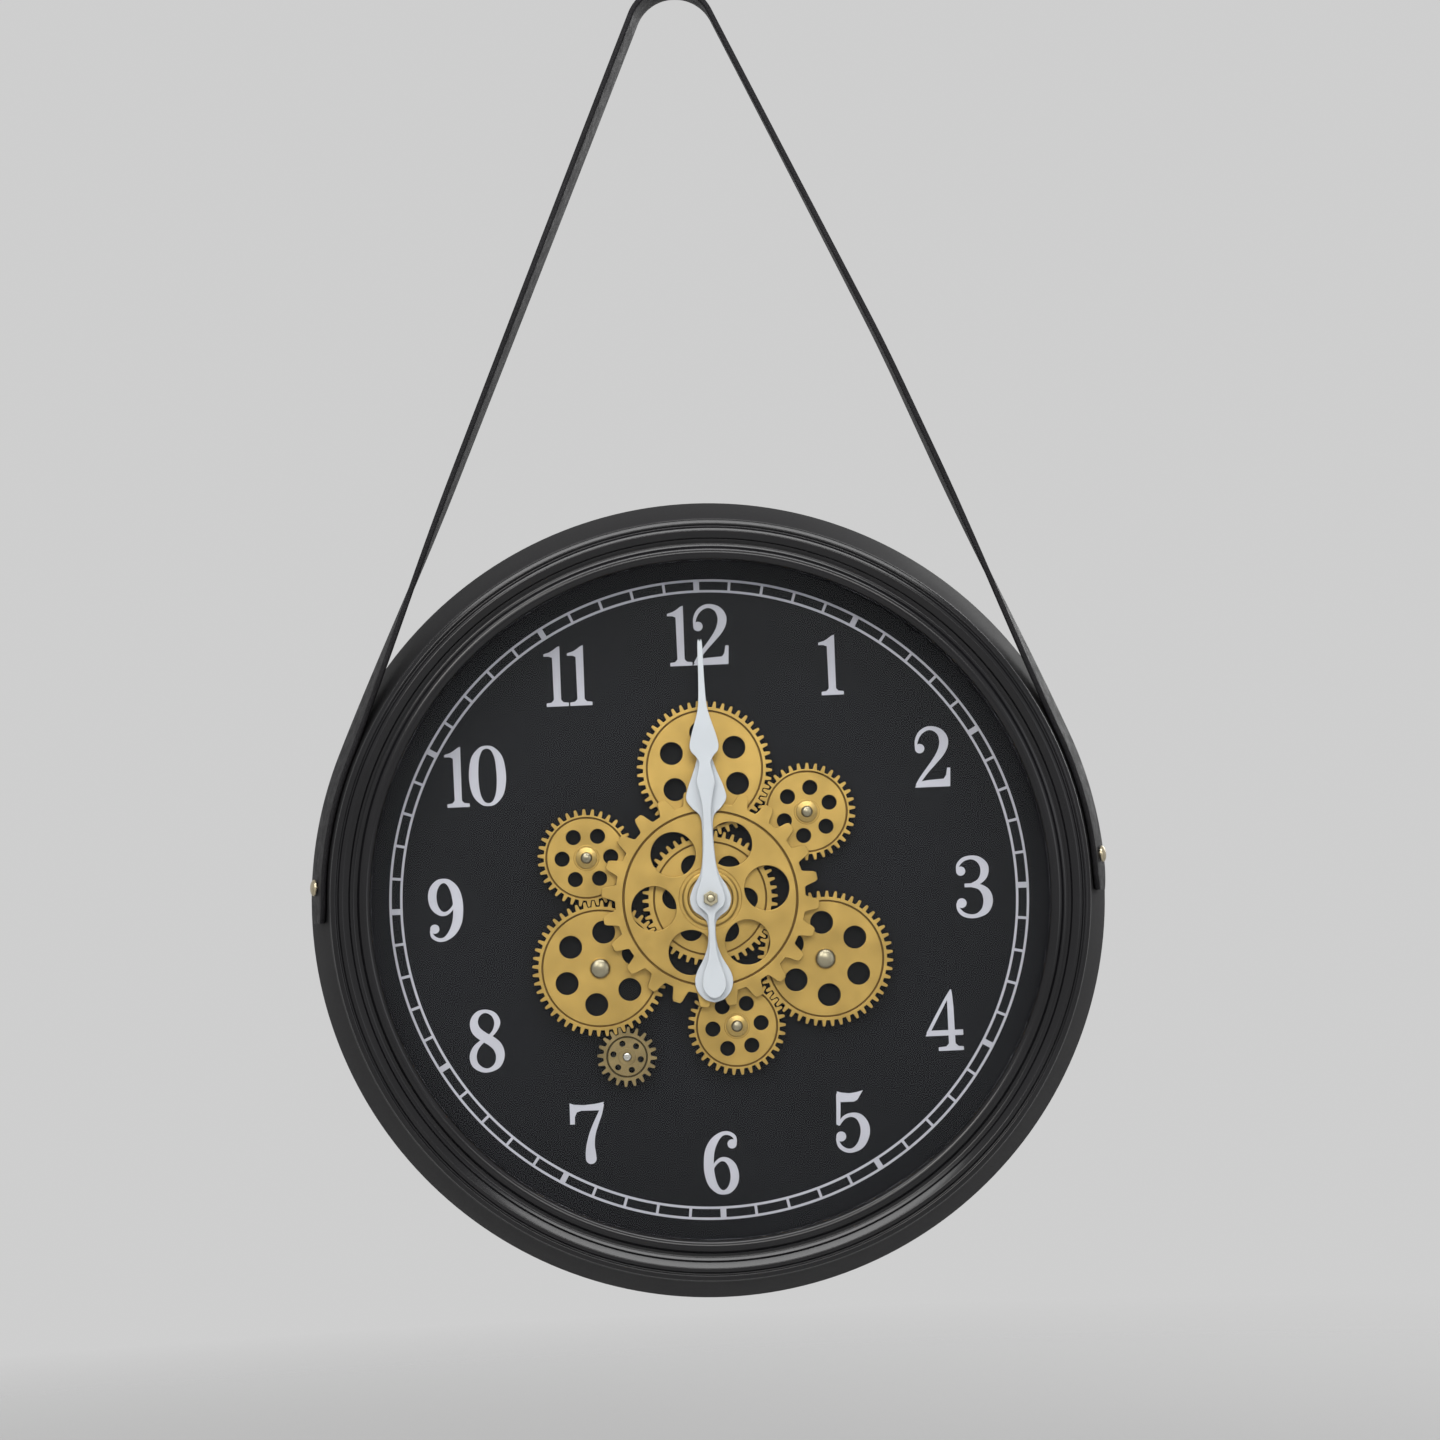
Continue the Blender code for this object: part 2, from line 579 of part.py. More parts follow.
def build_posts():
    """A flanged post in the dial for each loose wheel, and the domed screw that keeps the wheel on it."""
    hole = SCREW_RADIUS + GAP
    tail, flange_back, flange_front = DIAL_BACK - 0.6, DIAL_FRONT + GAP, WHEEL_BACK - GAP
    top = WHEEL_FRONT + GAP
    for name in satellites:
        place(f"{name}_post", turned((
            (hole, tail), (POST_TAIL_RADIUS, tail), (POST_TAIL_RADIUS, flange_back),
            (POST_FLANGE_RADIUS, flange_back), (POST_FLANGE_RADIUS, flange_front),
            (POST_RADIUS, flange_front), (POST_RADIUS, top), (hole, top),
        ), SMALL_FACETS), "nickel", place_of[name])
        if name in LARGE_ANGLES:
            head = ((4.9, top + GAP), (4.9, top + 1.0), (3.6, top + 2.3), (1.6, top + 2.9), (0, top + 2.9))
        else:
            head = ((5.3, top + GAP), (5.3, top + 0.9), (3.4, top + 0.9), (2.6, top + 2.2), (0, top + 2.7))
        place(f"{name}_screw", turned((
            (0, tail + 1), (SCREW_RADIUS, tail + 1), (SCREW_RADIUS, top + GAP), *head,
        ), SMALL_FACETS), "nickel", place_of[name])


# Hands and arbors

def spline(a, b, c, d, t):
    """Smooth curve from b to c, where a and d are the values before and after them."""
    square, cube = 2 * a - 5 * b + 4 * c - d, 3 * b - a - 3 * c + d
    return 0.5 * (2 * b + (c - a) * t + square * t * t + cube * t ** 3)


def hand_outline(stations):
    """Outline through the half widths, smooth between them, up one side and down the other."""
    padded = [stations[0], *stations, stations[-1]]
    side = []
    for p0, p1, p2, p3 in zip(padded, padded[1:], padded[2:], padded[3:]):
        for t in (0.0, 0.5):
            side.append(tuple(spline(*values, t) for values in zip(p0, p1, p2, p3)))
    side.append(stations[-1])
    right = [(width, along) for along, width in side]
    left = [(-width, along) for along, width in reversed(side[1:-1])]
    return right + left


def build_hands():
    place("centre_bushing", turned((
        (BUSHING_BORE, DIAL_BACK), (BUSHING_RADIUS, DIAL_BACK), (BUSHING_RADIUS, BUSHING_FRONT),
        (BUSHING_BORE, BUSHING_FRONT),
    ), 12), "brass")
    nut_hole = circle(BUSHING_RADIUS + GAP, 12)
    place("movement_nut", plate(circle(10.0, 6), [nut_hole], DIAL_FRONT + GAP, WHEEL_BACK - GAP), "brass")
    washer_back = FRONT_WHEEL_FRONT - RECESS + GAP
    place("hub_washer", turned((
        (BUSHING_RADIUS + GAP, washer_back), (HUB_WASHER_RADIUS, washer_back),
        (HUB_WASHER_RADIUS, washer_back + 1.2), (HUB_WASHER_RADIUS - 1.2, washer_back + 1.8),
        (BUSHING_RADIUS + GAP, washer_back + 1.8),
    ), 20), "gold_wheel")

    place("hour_pipe", turned((
        (HOUR_PIPE_BORE, 10), (HOUR_PIPE_RADIUS, 10), (HOUR_PIPE_RADIUS, HOUR_HAND_BACK - GAP),
        (HOUR_SEAT_RADIUS, HOUR_HAND_BACK - GAP), (HOUR_SEAT_RADIUS, HOUR_HAND_BACK + HAND_THICKNESS + 0.4),
        (HOUR_PIPE_BORE, HOUR_HAND_BACK + HAND_THICKNESS + 0.4),
    ), 12), "brass")
    place("hour_hand", plate(hand_outline(HOUR_STATIONS), [circle(HOUR_SEAT_RADIUS + GAP, 12)],
                             HOUR_HAND_BACK, HOUR_HAND_BACK + HAND_THICKNESS), "white_hand")

    nut_back = MINUTE_HAND_BACK + HAND_THICKNESS + GAP
    place("minute_arbor", turned((
        (0, 10.5), (MINUTE_ARBOR_RADIUS, 10.5), (MINUTE_ARBOR_RADIUS, MINUTE_HAND_BACK - GAP),
        (MINUTE_SEAT_RADIUS, MINUTE_HAND_BACK - GAP), (MINUTE_SEAT_RADIUS, nut_back + 2.2),
        (0, nut_back + 2.8),
    ), 12), "brass")
    seat_hole = circle(MINUTE_SEAT_RADIUS + GAP, 12)
    place("minute_hand", plate(hand_outline(MINUTE_STATIONS), [seat_hole],
                               MINUTE_HAND_BACK, MINUTE_HAND_BACK + HAND_THICKNESS), "white_hand")
    nut = plate(circle(HAND_NUT_RADIUS, 6, start=30), [seat_hole], nut_back, nut_back + 1.9)
    place("hand_nut", nut, "brass")


# Works behind the dial

def battery(name, x, z, depth):
    lie_down = Matrix.Translation(Vector((x, -depth, z)) * MM) @ Matrix.Rotation(radians(90), 4, "Z")
    half, shoulder = CELL_LENGTH / 2, CELL_LENGTH / 2 - 1.2
    place(name, turned((
        (0, -half), (CELL_RADIUS, -half), (CELL_RADIUS, shoulder), (2.7, shoulder), (2.7, half), (0, half),
    ), 12), "cell_wrap", turn=lie_down)


def build_works():
    front = DIAL_BACK - GAP
    cell_depth = MOVEMENT_BACK + CELL_RADIUS + GAP
    outline = rectangle(MOVEMENT_SIZE, MOVEMENT_SIZE, MOVEMENT_CHAMFER)
    bay = rectangle(*CELL_BAY, centre=(0, TIME_CELL_Z))
    stem_hole = circle(2.0, SMALL_FACETS, KNOB_PLACE)
    bore = circle(BUSHING_BORE, 12)
    housing = Terraces()
    housing.wall(outline, MOVEMENT_BACK, front)
    housing.level(MOVEMENT_BACK, [outline, bay, stem_hole])
    housing.wall(bay, MOVEMENT_BACK, CELL_BAY_FLOOR)
    housing.level(CELL_BAY_FLOOR, [bay])
    housing.wall(stem_hole, MOVEMENT_BACK, 7.2)
    housing.level(7.2, [stem_hole])
    housing.wall(bore, 9.5, front)
    housing.level(9.5, [bore])
    housing.level(front, [outline, bore])
    place("movement_housing", housing.bm, "black_plastic")
    battery("time_cell", 0, TIME_CELL_Z, cell_depth)
    place("time_set_knob", turned((
        (0, 0.8), (KNOB_RADIUS - 0.8, 0.8), (KNOB_RADIUS, 1.4), (KNOB_RADIUS, MOVEMENT_BACK - GAP),
        (2.0 - GAP, MOVEMENT_BACK - GAP), (2.0 - GAP, 6.8), (0, 6.8),
    ), 12), "black_plastic", KNOB_PLACE)

    outline = rectangle(*BOX_SIZE, 2.0, centre=BOX_PLACE)
    bay = rectangle(*BOX_BAY, centre=BOX_PLACE)
    box = Terraces()
    box.wall(outline, MOVEMENT_BACK, front)
    box.level(MOVEMENT_BACK, [outline, bay])
    box.wall(bay, MOVEMENT_BACK, CELL_BAY_FLOOR)
    box.level(CELL_BAY_FLOOR, [bay])
    box.level(front, [outline])
    place("battery_box", box.bm, "black_plastic")
    for number, side in ((1, 1), (2, -1)):
        battery(f"wheel_cell_{number}", BOX_PLACE[0], BOX_PLACE[1] + side * (CELL_RADIUS + GAP), cell_depth)

    outline = rectangle(*MOTOR_SIZE, 5.0)
    can = circle(MOTOR_CAN_RADIUS, 20)
    nose = circle(MOTOR_NOSE_RADIUS, SMALL_FACETS)
    bore = circle(MOTOR_SHAFT_RADIUS + GAP, SMALL_FACETS)
    nose_front = WHEEL_BACK - GAP
    motor = Terraces()
    motor.wall(outline, 9.0, front)
    motor.level(9.0, [outline, can])
    motor.wall(can, 4.5, 9.0)
    motor.level(4.5, [can])
    motor.level(front, [outline, nose])
    motor.wall(nose, front, nose_front)
    motor.level(nose_front, [nose, bore])
    motor.wall(bore, 15.0, nose_front)
    motor.level(15.0, [bore])
    place("gear_motor", motor.bm, "black_plastic", place_of["pinion"])
    place("motor_nut", plate(circle(8.0, 6), [circle(MOTOR_NOSE_RADIUS + GAP, SMALL_FACETS)],
                             DIAL_FRONT + GAP, nose_front - 0.8), "black_plastic", place_of["pinion"])


for leftover in list(bpy.data.objects):
    bpy.data.objects.remove(leftover, do_unlink=True)

clock = bpy.data.objects.new("clock_axis", None)
bpy.context.scene.collection.objects.link(clock)
clock.location = (0.0, STRAP_DEPTH * MM, -HANG_DROP * MM)

place_of = train_places()
satellites = [*LARGE_ANGLES, *SMALL_DRIVERS]
case = build_case()
build_bezel()
build_strap(case)
build_train()
build_posts()
build_hands()
build_works()
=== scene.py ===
from math import asin, atan2, cos, degrees, pi, radians, sin, tan
import bmesh
import bpy
from mathutils import Matrix, Vector
from mathutils.geometry import delaunay_2d_cdt


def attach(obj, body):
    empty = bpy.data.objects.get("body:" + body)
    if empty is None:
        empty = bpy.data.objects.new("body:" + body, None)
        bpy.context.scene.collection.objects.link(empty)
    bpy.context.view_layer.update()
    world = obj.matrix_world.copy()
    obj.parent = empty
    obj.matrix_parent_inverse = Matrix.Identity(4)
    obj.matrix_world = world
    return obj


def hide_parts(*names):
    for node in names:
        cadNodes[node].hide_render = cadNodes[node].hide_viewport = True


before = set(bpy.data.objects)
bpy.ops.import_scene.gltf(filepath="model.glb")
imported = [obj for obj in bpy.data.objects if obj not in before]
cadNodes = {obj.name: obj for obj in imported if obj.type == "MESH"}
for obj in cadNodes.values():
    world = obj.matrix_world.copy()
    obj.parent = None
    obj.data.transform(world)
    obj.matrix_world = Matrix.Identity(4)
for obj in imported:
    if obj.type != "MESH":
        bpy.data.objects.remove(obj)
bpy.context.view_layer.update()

scene = bpy.context.scene

# sizes are millimetres: x to the right and z up from the hands' axis, depth forward from the wall
mm = 0.001
wallPoint = Vector((0.0, 0.035, -0.4535))      # where the hands' axis meets the wall, in metres


def polar(radius, angle):
    return radius * cos(radians(angle)), radius * sin(radians(angle))


def ring(radius, count, centre=(0.0, 0.0), start=0.0):
    steps = (polar(radius, start + 360 * i / count) for i in range(count))
    return [(centre[0] + x, centre[1] + z) for x, z in steps]


# node helpers


def addNode(tree, kind, inputs=None, **settings):
    node = tree.nodes.new(kind)
    for key, value in settings.items():
        setattr(node, key, value)
    for key, value in (inputs or {}).items():
        if isinstance(value, bpy.types.NodeSocket):
            tree.links.new(value, node.inputs[key])
        else:
            node.inputs[key].default_value = value
    return node


def calc(tree, operation, *values):
    inputs = dict(enumerate(values))
    return addNode(tree, "ShaderNodeMath", inputs, operation=operation).outputs[0]


# finishes, all on Object coordinates in metres


def startFinish(name):
    material = bpy.data.materials.new(name)
    material.use_nodes = True
    tree = material.node_tree
    place = addNode(tree, "ShaderNodeTexCoord").outputs["Object"]
    return material, tree, tree.nodes["Principled BSDF"], place


def showMix(tree, factor, first, second):
    mixed = addNode(tree, "ShaderNodeMixShader", {0: factor, 1: first.outputs[0], 2: second.outputs[0]})
    tree.links.new(mixed.outputs[0], tree.nodes["Material Output"].inputs["Surface"])


def noise(tree, place, scale, detail=3.0, rough=0.55):
    inputs = {"Vector": place, "Scale": scale, "Detail": detail, "Roughness": rough}
    return addNode(tree, "ShaderNodeTexNoise", inputs).outputs["Fac"]


def between(tree, value, low, high, fromLow=0.3, fromHigh=0.7):
    inputs = {"Value": value, "From Min": fromLow, "From Max": fromHigh, "To Min": low, "To Max": high}
    return addNode(tree, "ShaderNodeMapRange", inputs).outputs[0]


def blendColours(tree, value, first, second):
    inputs = {0: value, 6: first, 7: second}
    return addNode(tree, "ShaderNodeMix", inputs, data_type="RGBA").outputs[2]


def shade(colour, factor):
    return (*[min(1.0, c * factor) for c in colour], 1.0)


def surfaceFinish(name, colour, spread, blotch, rough, grain, bump, metallic=0.0, specular=0.5, recess=None):
    # blotch and grain are the sizes of the slow colour change and of the fine surface, in metres;
    # recess is the colour of faces that carry the attribute of that name, which on the wheels is
    # painted shade and on the screw caps the washer's own tone
    material, tree, shader, place = startFinish(name)
    slow = noise(tree, place, 1 / blotch, 4.0)
    fine = noise(tree, place, 1 / grain, 2.0)
    dark, light = shade(colour, 1 - spread), shade(colour, 1 + spread)
    tone = blendColours(tree, between(tree, slow, 0.0, 1.0), dark, light)
    # painted shade on the wheels: the marked faces are mixed towards the recess colour
    if recess:
        sunk = addNode(tree, "ShaderNodeAttribute", attribute_name="recess").outputs["Fac"]
        tone = blendColours(tree, sunk, tone, (*recess, 1.0))
    both = calc(tree, "MULTIPLY_ADD", fine, 0.5, calc(tree, "MULTIPLY", slow, 0.5))
    tree.links.new(tone, shader.inputs["Base Color"])
    tree.links.new(between(tree, both, *rough, 0.35, 0.65), shader.inputs["Roughness"])
    lift = addNode(tree, "ShaderNodeBump", {"Height": fine, "Strength": bump, "Distance": grain * 0.2})
    tree.links.new(lift.outputs[0], shader.inputs["Normal"])
    shader.inputs["Metallic"].default_value = metallic
    shader.inputs["Specular IOR Level"].default_value = specular
    return material


def leatherFinish(name, colour, crackColour):
    material, tree, shader, place = startFinish(name)
    cells = addNode(tree, "ShaderNodeTexVoronoi", {"Vector": place, "Scale": 820.0, "Randomness": 1.0},
                    feature="DISTANCE_TO_EDGE").outputs["Distance"]
    pebble = between(tree, cells, 0.0, 1.0, 0.0, 0.22)
    creases = noise(tree, place, 160.0, 5.0, 0.6)
    slow = noise(tree, place, 28.0, 4.0)
    tone = blendColours(tree, between(tree, slow, 0.0, 1.0), shade(colour, 0.75), shade(colour, 1.3))
    tone = blendColours(tree, between(tree, pebble, 0.0, 1.0, 0.0, 0.6), (*crackColour, 1.0), tone)
    height = calc(tree, "MULTIPLY_ADD", creases, 0.7, calc(tree, "MULTIPLY", pebble, 0.6))
    lift = addNode(tree, "ShaderNodeBump", {"Height": height, "Strength": 0.55, "Distance": 0.0004})
    tree.links.new(tone, shader.inputs["Base Color"])
    tree.links.new(between(tree, creases, 0.46, 0.66), shader.inputs["Roughness"])
    tree.links.new(lift.outputs[0], shader.inputs["Normal"])
    shader.inputs["Specular IOR Level"].default_value = 0.16
    return material


def glassFinish(name):
    material, tree, shader, place = startFinish(name)
    shader.inputs["Base Color"].default_value = (0.95, 0.97, 1.0, 1.0)
    shader.inputs["Metallic"].default_value = 1.0
    smear = noise(tree, place, 22.0, 5.0)
    tree.links.new(between(tree, smear, 0.008, 0.03), shader.inputs["Roughness"])
    clear = addNode(tree, "ShaderNodeBsdfTransparent", {"Color": (0.965, 0.975, 0.975, 1.0)})
    # the same gloss on both faces of the pane, so that it stays clear at a slant
    slant = addNode(tree, "ShaderNodeLayerWeight", {"Blend": 0.5}).outputs["Facing"]
    gloss = calc(tree, "MULTIPLY_ADD", calc(tree, "POWER", slant, 5.0), 0.6, 0.008)
    showMix(tree, gloss, clear, shader)
    return material


def cellFinish(name, wrapColour, endColour):
    # plain wrap, and bare metal on the faces that carry the attribute
    material, tree, shader, place = startFinish(name)
    isEnd = addNode(tree, "ShaderNodeAttribute", attribute_name="metalEnd").outputs["Fac"]
    slow = noise(tree, place, 60.0)
    wrap = blendColours(tree, between(tree, slow, 0.0, 1.0), shade(wrapColour, 0.85), shade(wrapColour, 1.15))
    tree.links.new(blendColours(tree, isEnd, wrap, (*endColour, 1.0)), shader.inputs["Base Color"])
    tree.links.new(isEnd, shader.inputs["Metallic"])
    tree.links.new(between(tree, slow, 0.25, 0.4), shader.inputs["Roughness"])
    return material


finishes = {
    "black_lacquer": surfaceFinish("blackLacquer", (0.0065, 0.0063, 0.0075), 0.25, 0.05, (0.16, 0.21), 0.0009,
                                   0.02, specular=0.36),
    "black_dial": surfaceFinish("blackDial", (0.0065, 0.0065, 0.0085), 0.2, 0.09, (0.45, 0.48), 0.0003, 0.003,
                                specular=0.12),
    "black_plastic": surfaceFinish("blackPlastic", (0.016, 0.016, 0.018), 0.18, 0.03, (0.48, 0.62), 0.00045,
                                   0.35),
    "clear_glass": glassFinish("clearGlass"),
    # the wheels' recess colours are painted shade, darkening their grooves and their tooth and hole walls
    "gold_wheel": surfaceFinish("goldWheel", (0.50, 0.322, 0.092), 0.14, 0.016, (0.32, 0.42), 0.0004,
                                0.05, 1.0, recess=(0.10, 0.045, 0.010)),
    "bronze_wheel": surfaceFinish("bronzeWheel", (0.27, 0.20, 0.095), 0.18, 0.008, (0.36, 0.50), 0.0004,
                                  0.08, 1.0, recess=(0.035, 0.024, 0.010)),
    "nickel": surfaceFinish("nickel", (0.62, 0.59, 0.54), 0.08, 0.006, (0.18, 0.30), 0.0003, 0.05, 1.0),
    "brass": surfaceFinish("paleBrass", (0.47, 0.41, 0.285), 0.12, 0.004, (0.24, 0.36), 0.0003, 0.05, 1.0),
    "white_hand": surfaceFinish("whiteLacquer", (0.67, 0.685, 0.725), 0.03, 0.02, (0.34, 0.46), 0.0006, 0.04),
    "dark_leather": leatherFinish("darkLeather", (0.013, 0.0125, 0.0145), (0.005, 0.0047, 0.005)),
    "cell_wrap": cellFinish("cellWrap", (0.045, 0.10, 0.19), (0.62, 0.60, 0.56)),
}
dialPrint = surfaceFinish("dialPrint", (0.63, 0.615, 0.685), 0.04, 0.012, (0.5, 0.62), 0.0004, 0.04)
caseSatin = surfaceFinish("caseSatin", (0.0105, 0.0102, 0.0112), 0.25, 0.06, (0.58, 0.7), 0.0008, 0.06,
                          specular=0.13)
greyPlastic = surfaceFinish("greyPlastic", (0.06, 0.06, 0.064), 0.18, 0.03, (0.42, 0.56), 0.00045, 0.3)
screwCap = surfaceFinish("screwCap", (0.34, 0.295, 0.205), 0.12, 0.004, (0.26, 0.38), 0.0003, 0.04, 1.0,
                         recess=(0.44, 0.30, 0.105))
for node in cadNodes.values():
    node.material_slots[0].material = finishes[node.material_slots[0].material.name.split(".")[0]]
print("finishes made")


# mesh helpers


def plainMesh(piece):
    # the evaluated result as a mesh of its own, with no modifier left
    bpy.context.view_layer.update()
    mesh = bpy.data.meshes.new_from_object(piece.evaluated_get(bpy.context.evaluated_depsgraph_get()))
    piece.modifiers.clear()
    piece.data = mesh
    return piece


def settle(piece, bevel=0.0, segments=2, sharp=25.0):
    # merge doubles, turn faces outwards, round the sharp edges, and shade smooth between the rest
    bm = bmesh.new()
    bm.from_mesh(piece.data)
    bmesh.ops.remove_doubles(bm, verts=bm.verts, dist=1e-7)
    bmesh.ops.recalc_face_normals(bm, faces=bm.faces)
    bm.to_mesh(piece.data)
    bm.free()
    piece.data.shade_smooth()
    if bevel:
        rounding = piece.modifiers.new("rounding", "BEVEL")
        rounding.width = bevel * mm
        rounding.segments = segments
        rounding.limit_method = "ANGLE"
        rounding.angle_limit = radians(30.0)
        rounding.use_clamp_overlap = False
        flats = piece.modifiers.new("flats", "WEIGHTED_NORMAL")
        flats.weight = 90
        return plainMesh(piece)
    piece.data.set_sharp_from_angle(angle=radians(sharp))
    return piece


def newPiece(name, bm, finish, **rounding):
    # from a mesh in millimetres at (x, -depth, z)
    bmesh.ops.transform(bm, matrix=Matrix.Translation(wallPoint) @ Matrix.Scale(mm, 4), verts=bm.verts)
    mesh = bpy.data.meshes.new(name)
    bm.to_mesh(mesh)
    bm.free()
    piece = bpy.data.objects.new(name, mesh)
    scene.collection.objects.link(piece)
    mesh.materials.append(finish)
    return settle(piece, **rounding)


def fit(piece, body, slot, *replaced):
    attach(piece, body)
    if replaced:
        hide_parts(*replaced)


def filleted(corners, steps=5):
    # corners are (radius, depth, rounding); a rounded corner becomes an arc-like run of points
    points = []
    count = len(corners)
    for i, (r, d, rounding) in enumerate(corners):
        here = Vector((r, d))
        before = Vector(corners[i - 1][:2]) - here
        after = Vector(corners[(i + 1) % count][:2]) - here
        if not rounding:
            points.append((r, d))
            continue
        reach = rounding * tan((pi - before.angle(after)) / 2)
        reach = min(reach, before.length * 0.48, after.length * 0.48)
        first, last = here + before.normalized() * reach, here + after.normalized() * reach
        for step in range(steps + 1):
            t = step / steps
            p = first * (1 - t) ** 2 + here * (2 * t * (1 - t)) + last * t ** 2
            points.append((p.x, p.y))
    return points


def lathe(profile, segments, bm=None, turn=None):
    # a closed profile of radius and depth turned about the axis
    bm = bm or bmesh.new()
    loops = []
    for radius, depth in profile:
        if radius < 1e-6:
            loops.append([bm.verts.new((0, -depth, 0))] * segments)
        else:
            loops.append([bm.verts.new((x, -depth, z)) for x, z in ring(radius, segments)])
    made = {v for loop in loops for v in loop}
    for first, second in zip(loops, loops[1:] + loops[:1]):
        for i in range(segments):
            j = (i + 1) % segments
            corners = list(dict.fromkeys((first[i], first[j], second[j], second[i])))
            if len(corners) > 2:
                bm.faces.new(corners)
    if turn:
        bmesh.ops.transform(bm, matrix=turn, verts=list(made))
    return bm


def plate(loops, back, front, bm=None):
    # a flat plate between two depths; the first loop is its outline and the rest are holes
    bm = bm or bmesh.new()
    edges = {back: [], front: []}
    for loop in loops:
        rows = {d: [bm.verts.new((x, -d, z)) for x, z in loop] for d in (back, front)}
        count = len(loop)
        for d, row in rows.items():
            edges[d] += [bm.edges.new((row[i], row[(i + 1) % count])) for i in range(count)]
        for i in range(count):
            j = (i + 1) % count
            bm.faces.new((rows[front][i], rows[front][j], rows[back][j], rows[back][i]))
    for d in (back, front):
        bmesh.ops.triangle_fill(bm, use_beauty=True, use_dissolve=True, edges=edges[d])
    return bm


def smoothRun(stations, steps):
    # points on a smooth curve through the stations, whatever they hold
    run = [stations[0], *stations, stations[-1]]
    points = []
    for a, b, c, d in zip(run, run[1:], run[2:], run[3:]):
        for k in range(steps):
            t = k / steps
            points.append(tuple(
                0.5 * (2 * q + (r - p) * t + (2 * p - 5 * q + 4 * r - s) * t * t
                       + (3 * q - p - 3 * r + s) * t ** 3)
                for p, q, r, s in zip(a, b, c, d)))
    points.append(tuple(stations[-1]))
    return points


# camera: nearly square on, from a little to the left and below; right and up are pixels at the dial


view = dict(pan=1.4, pitch=2.58, roll=2.5, distance=1.978, metresPerPixel=0.0005, right=10.2, up=178.4,
            sensor=36.0, picture=1440, dialFront=22.0)


def makeCamera():
    pan, pitch, roll = radians(view["pan"]), radians(view["pitch"]), radians(view["roll"])
    ahead, level, above = Vector((sin(pan), cos(pan), 0)), Vector((cos(pan), -sin(pan), 0)), Vector((0, 0, 1))
    forward = ahead * cos(pitch) + above * sin(pitch)
    upright = above * cos(pitch) - ahead * sin(pitch)
    up = upright * cos(roll) + level * sin(roll)
    right = level * cos(roll) - upright * sin(roll)
    dialMiddle = wallPoint - Vector((0, view["dialFront"] * mm, 0))
    shift = right * view["right"] + up * view["up"]
    eye = dialMiddle - forward * view["distance"] + shift * view["metresPerPixel"]
    data = bpy.data.cameras.new("camera")
    data.sensor_width = view["sensor"]
    data.lens = view["sensor"] * view["distance"] / (view["picture"] * view["metresPerPixel"])
    data.clip_start = 0.01
    camera = bpy.data.objects.new("camera", data)
    scene.collection.objects.link(camera)
    camera.matrix_world = Matrix.Translation(eye) @ Matrix((right, up, -forward)).transposed().to_4x4()
    scene.camera = camera


makeCamera()
print("camera set")


# case: drum, moulded bezel, spacer


drum = dict(radius=200.0, rimDepth=6.0, frontRadius=188.2, frontDepth=49.0, wall=2.6, ledgeRadius=168.0,
            ledgeFront=19.7, ledgeBack=17.0, segments=224)


def wallRadius(depth):
    taper = (drum["radius"] - drum["frontRadius"]) / (drum["frontDepth"] - drum["rimDepth"])
    return drum["radius"] - max(0.0, depth - drum["rimDepth"]) * taper


def makeDrum():
    inside = drum["wall"]
    profile = filleted((
        (drum["radius"], 0, 0.8),
        (drum["radius"], drum["rimDepth"], 7.0),
        (drum["frontRadius"], drum["frontDepth"], 0.5),
        (drum["frontRadius"] - inside, drum["frontDepth"], 0.3),
        (wallRadius(drum["ledgeFront"]) - inside, drum["ledgeFront"], 0),
        (drum["ledgeRadius"], drum["ledgeFront"], 0.3),
        (drum["ledgeRadius"], drum["ledgeBack"], 0.3),
        (wallRadius(drum["ledgeBack"]) - inside, drum["ledgeBack"], 0),
        (drum["radius"] - inside, drum["rimDepth"], 0),
        (drum["radius"] - inside, 0, 0.5),
    ))
    piece = newPiece("caseDrum", lathe(profile, drum["segments"]), caseSatin)
    fit(piece, "clock_case", "black_lacquer", "case_drum")


bezel = dict(seat=49.3, spigotRadius=185.3, spigotDepth=44.0, opening=166.6, valley=(175.0, 57.4),
             crest=(180.7, 62.0), crestEdge=(182.2, 61.3), hollow=(183.2, 59.5), ridge=(184.5, 60.4),
             shoulder=(186.7, 59.3), step=(177.7, 59.9), stepDrop=0.9, stepSlant=0.25, line=(0.55, 0.5),
             bead=3.6, beadDrop=0.6, beadArc=(20, 185), beadSteps=16, glassSeat=54.3, glassRadius=178.3,
             satinFrom=187.0, segments=224)


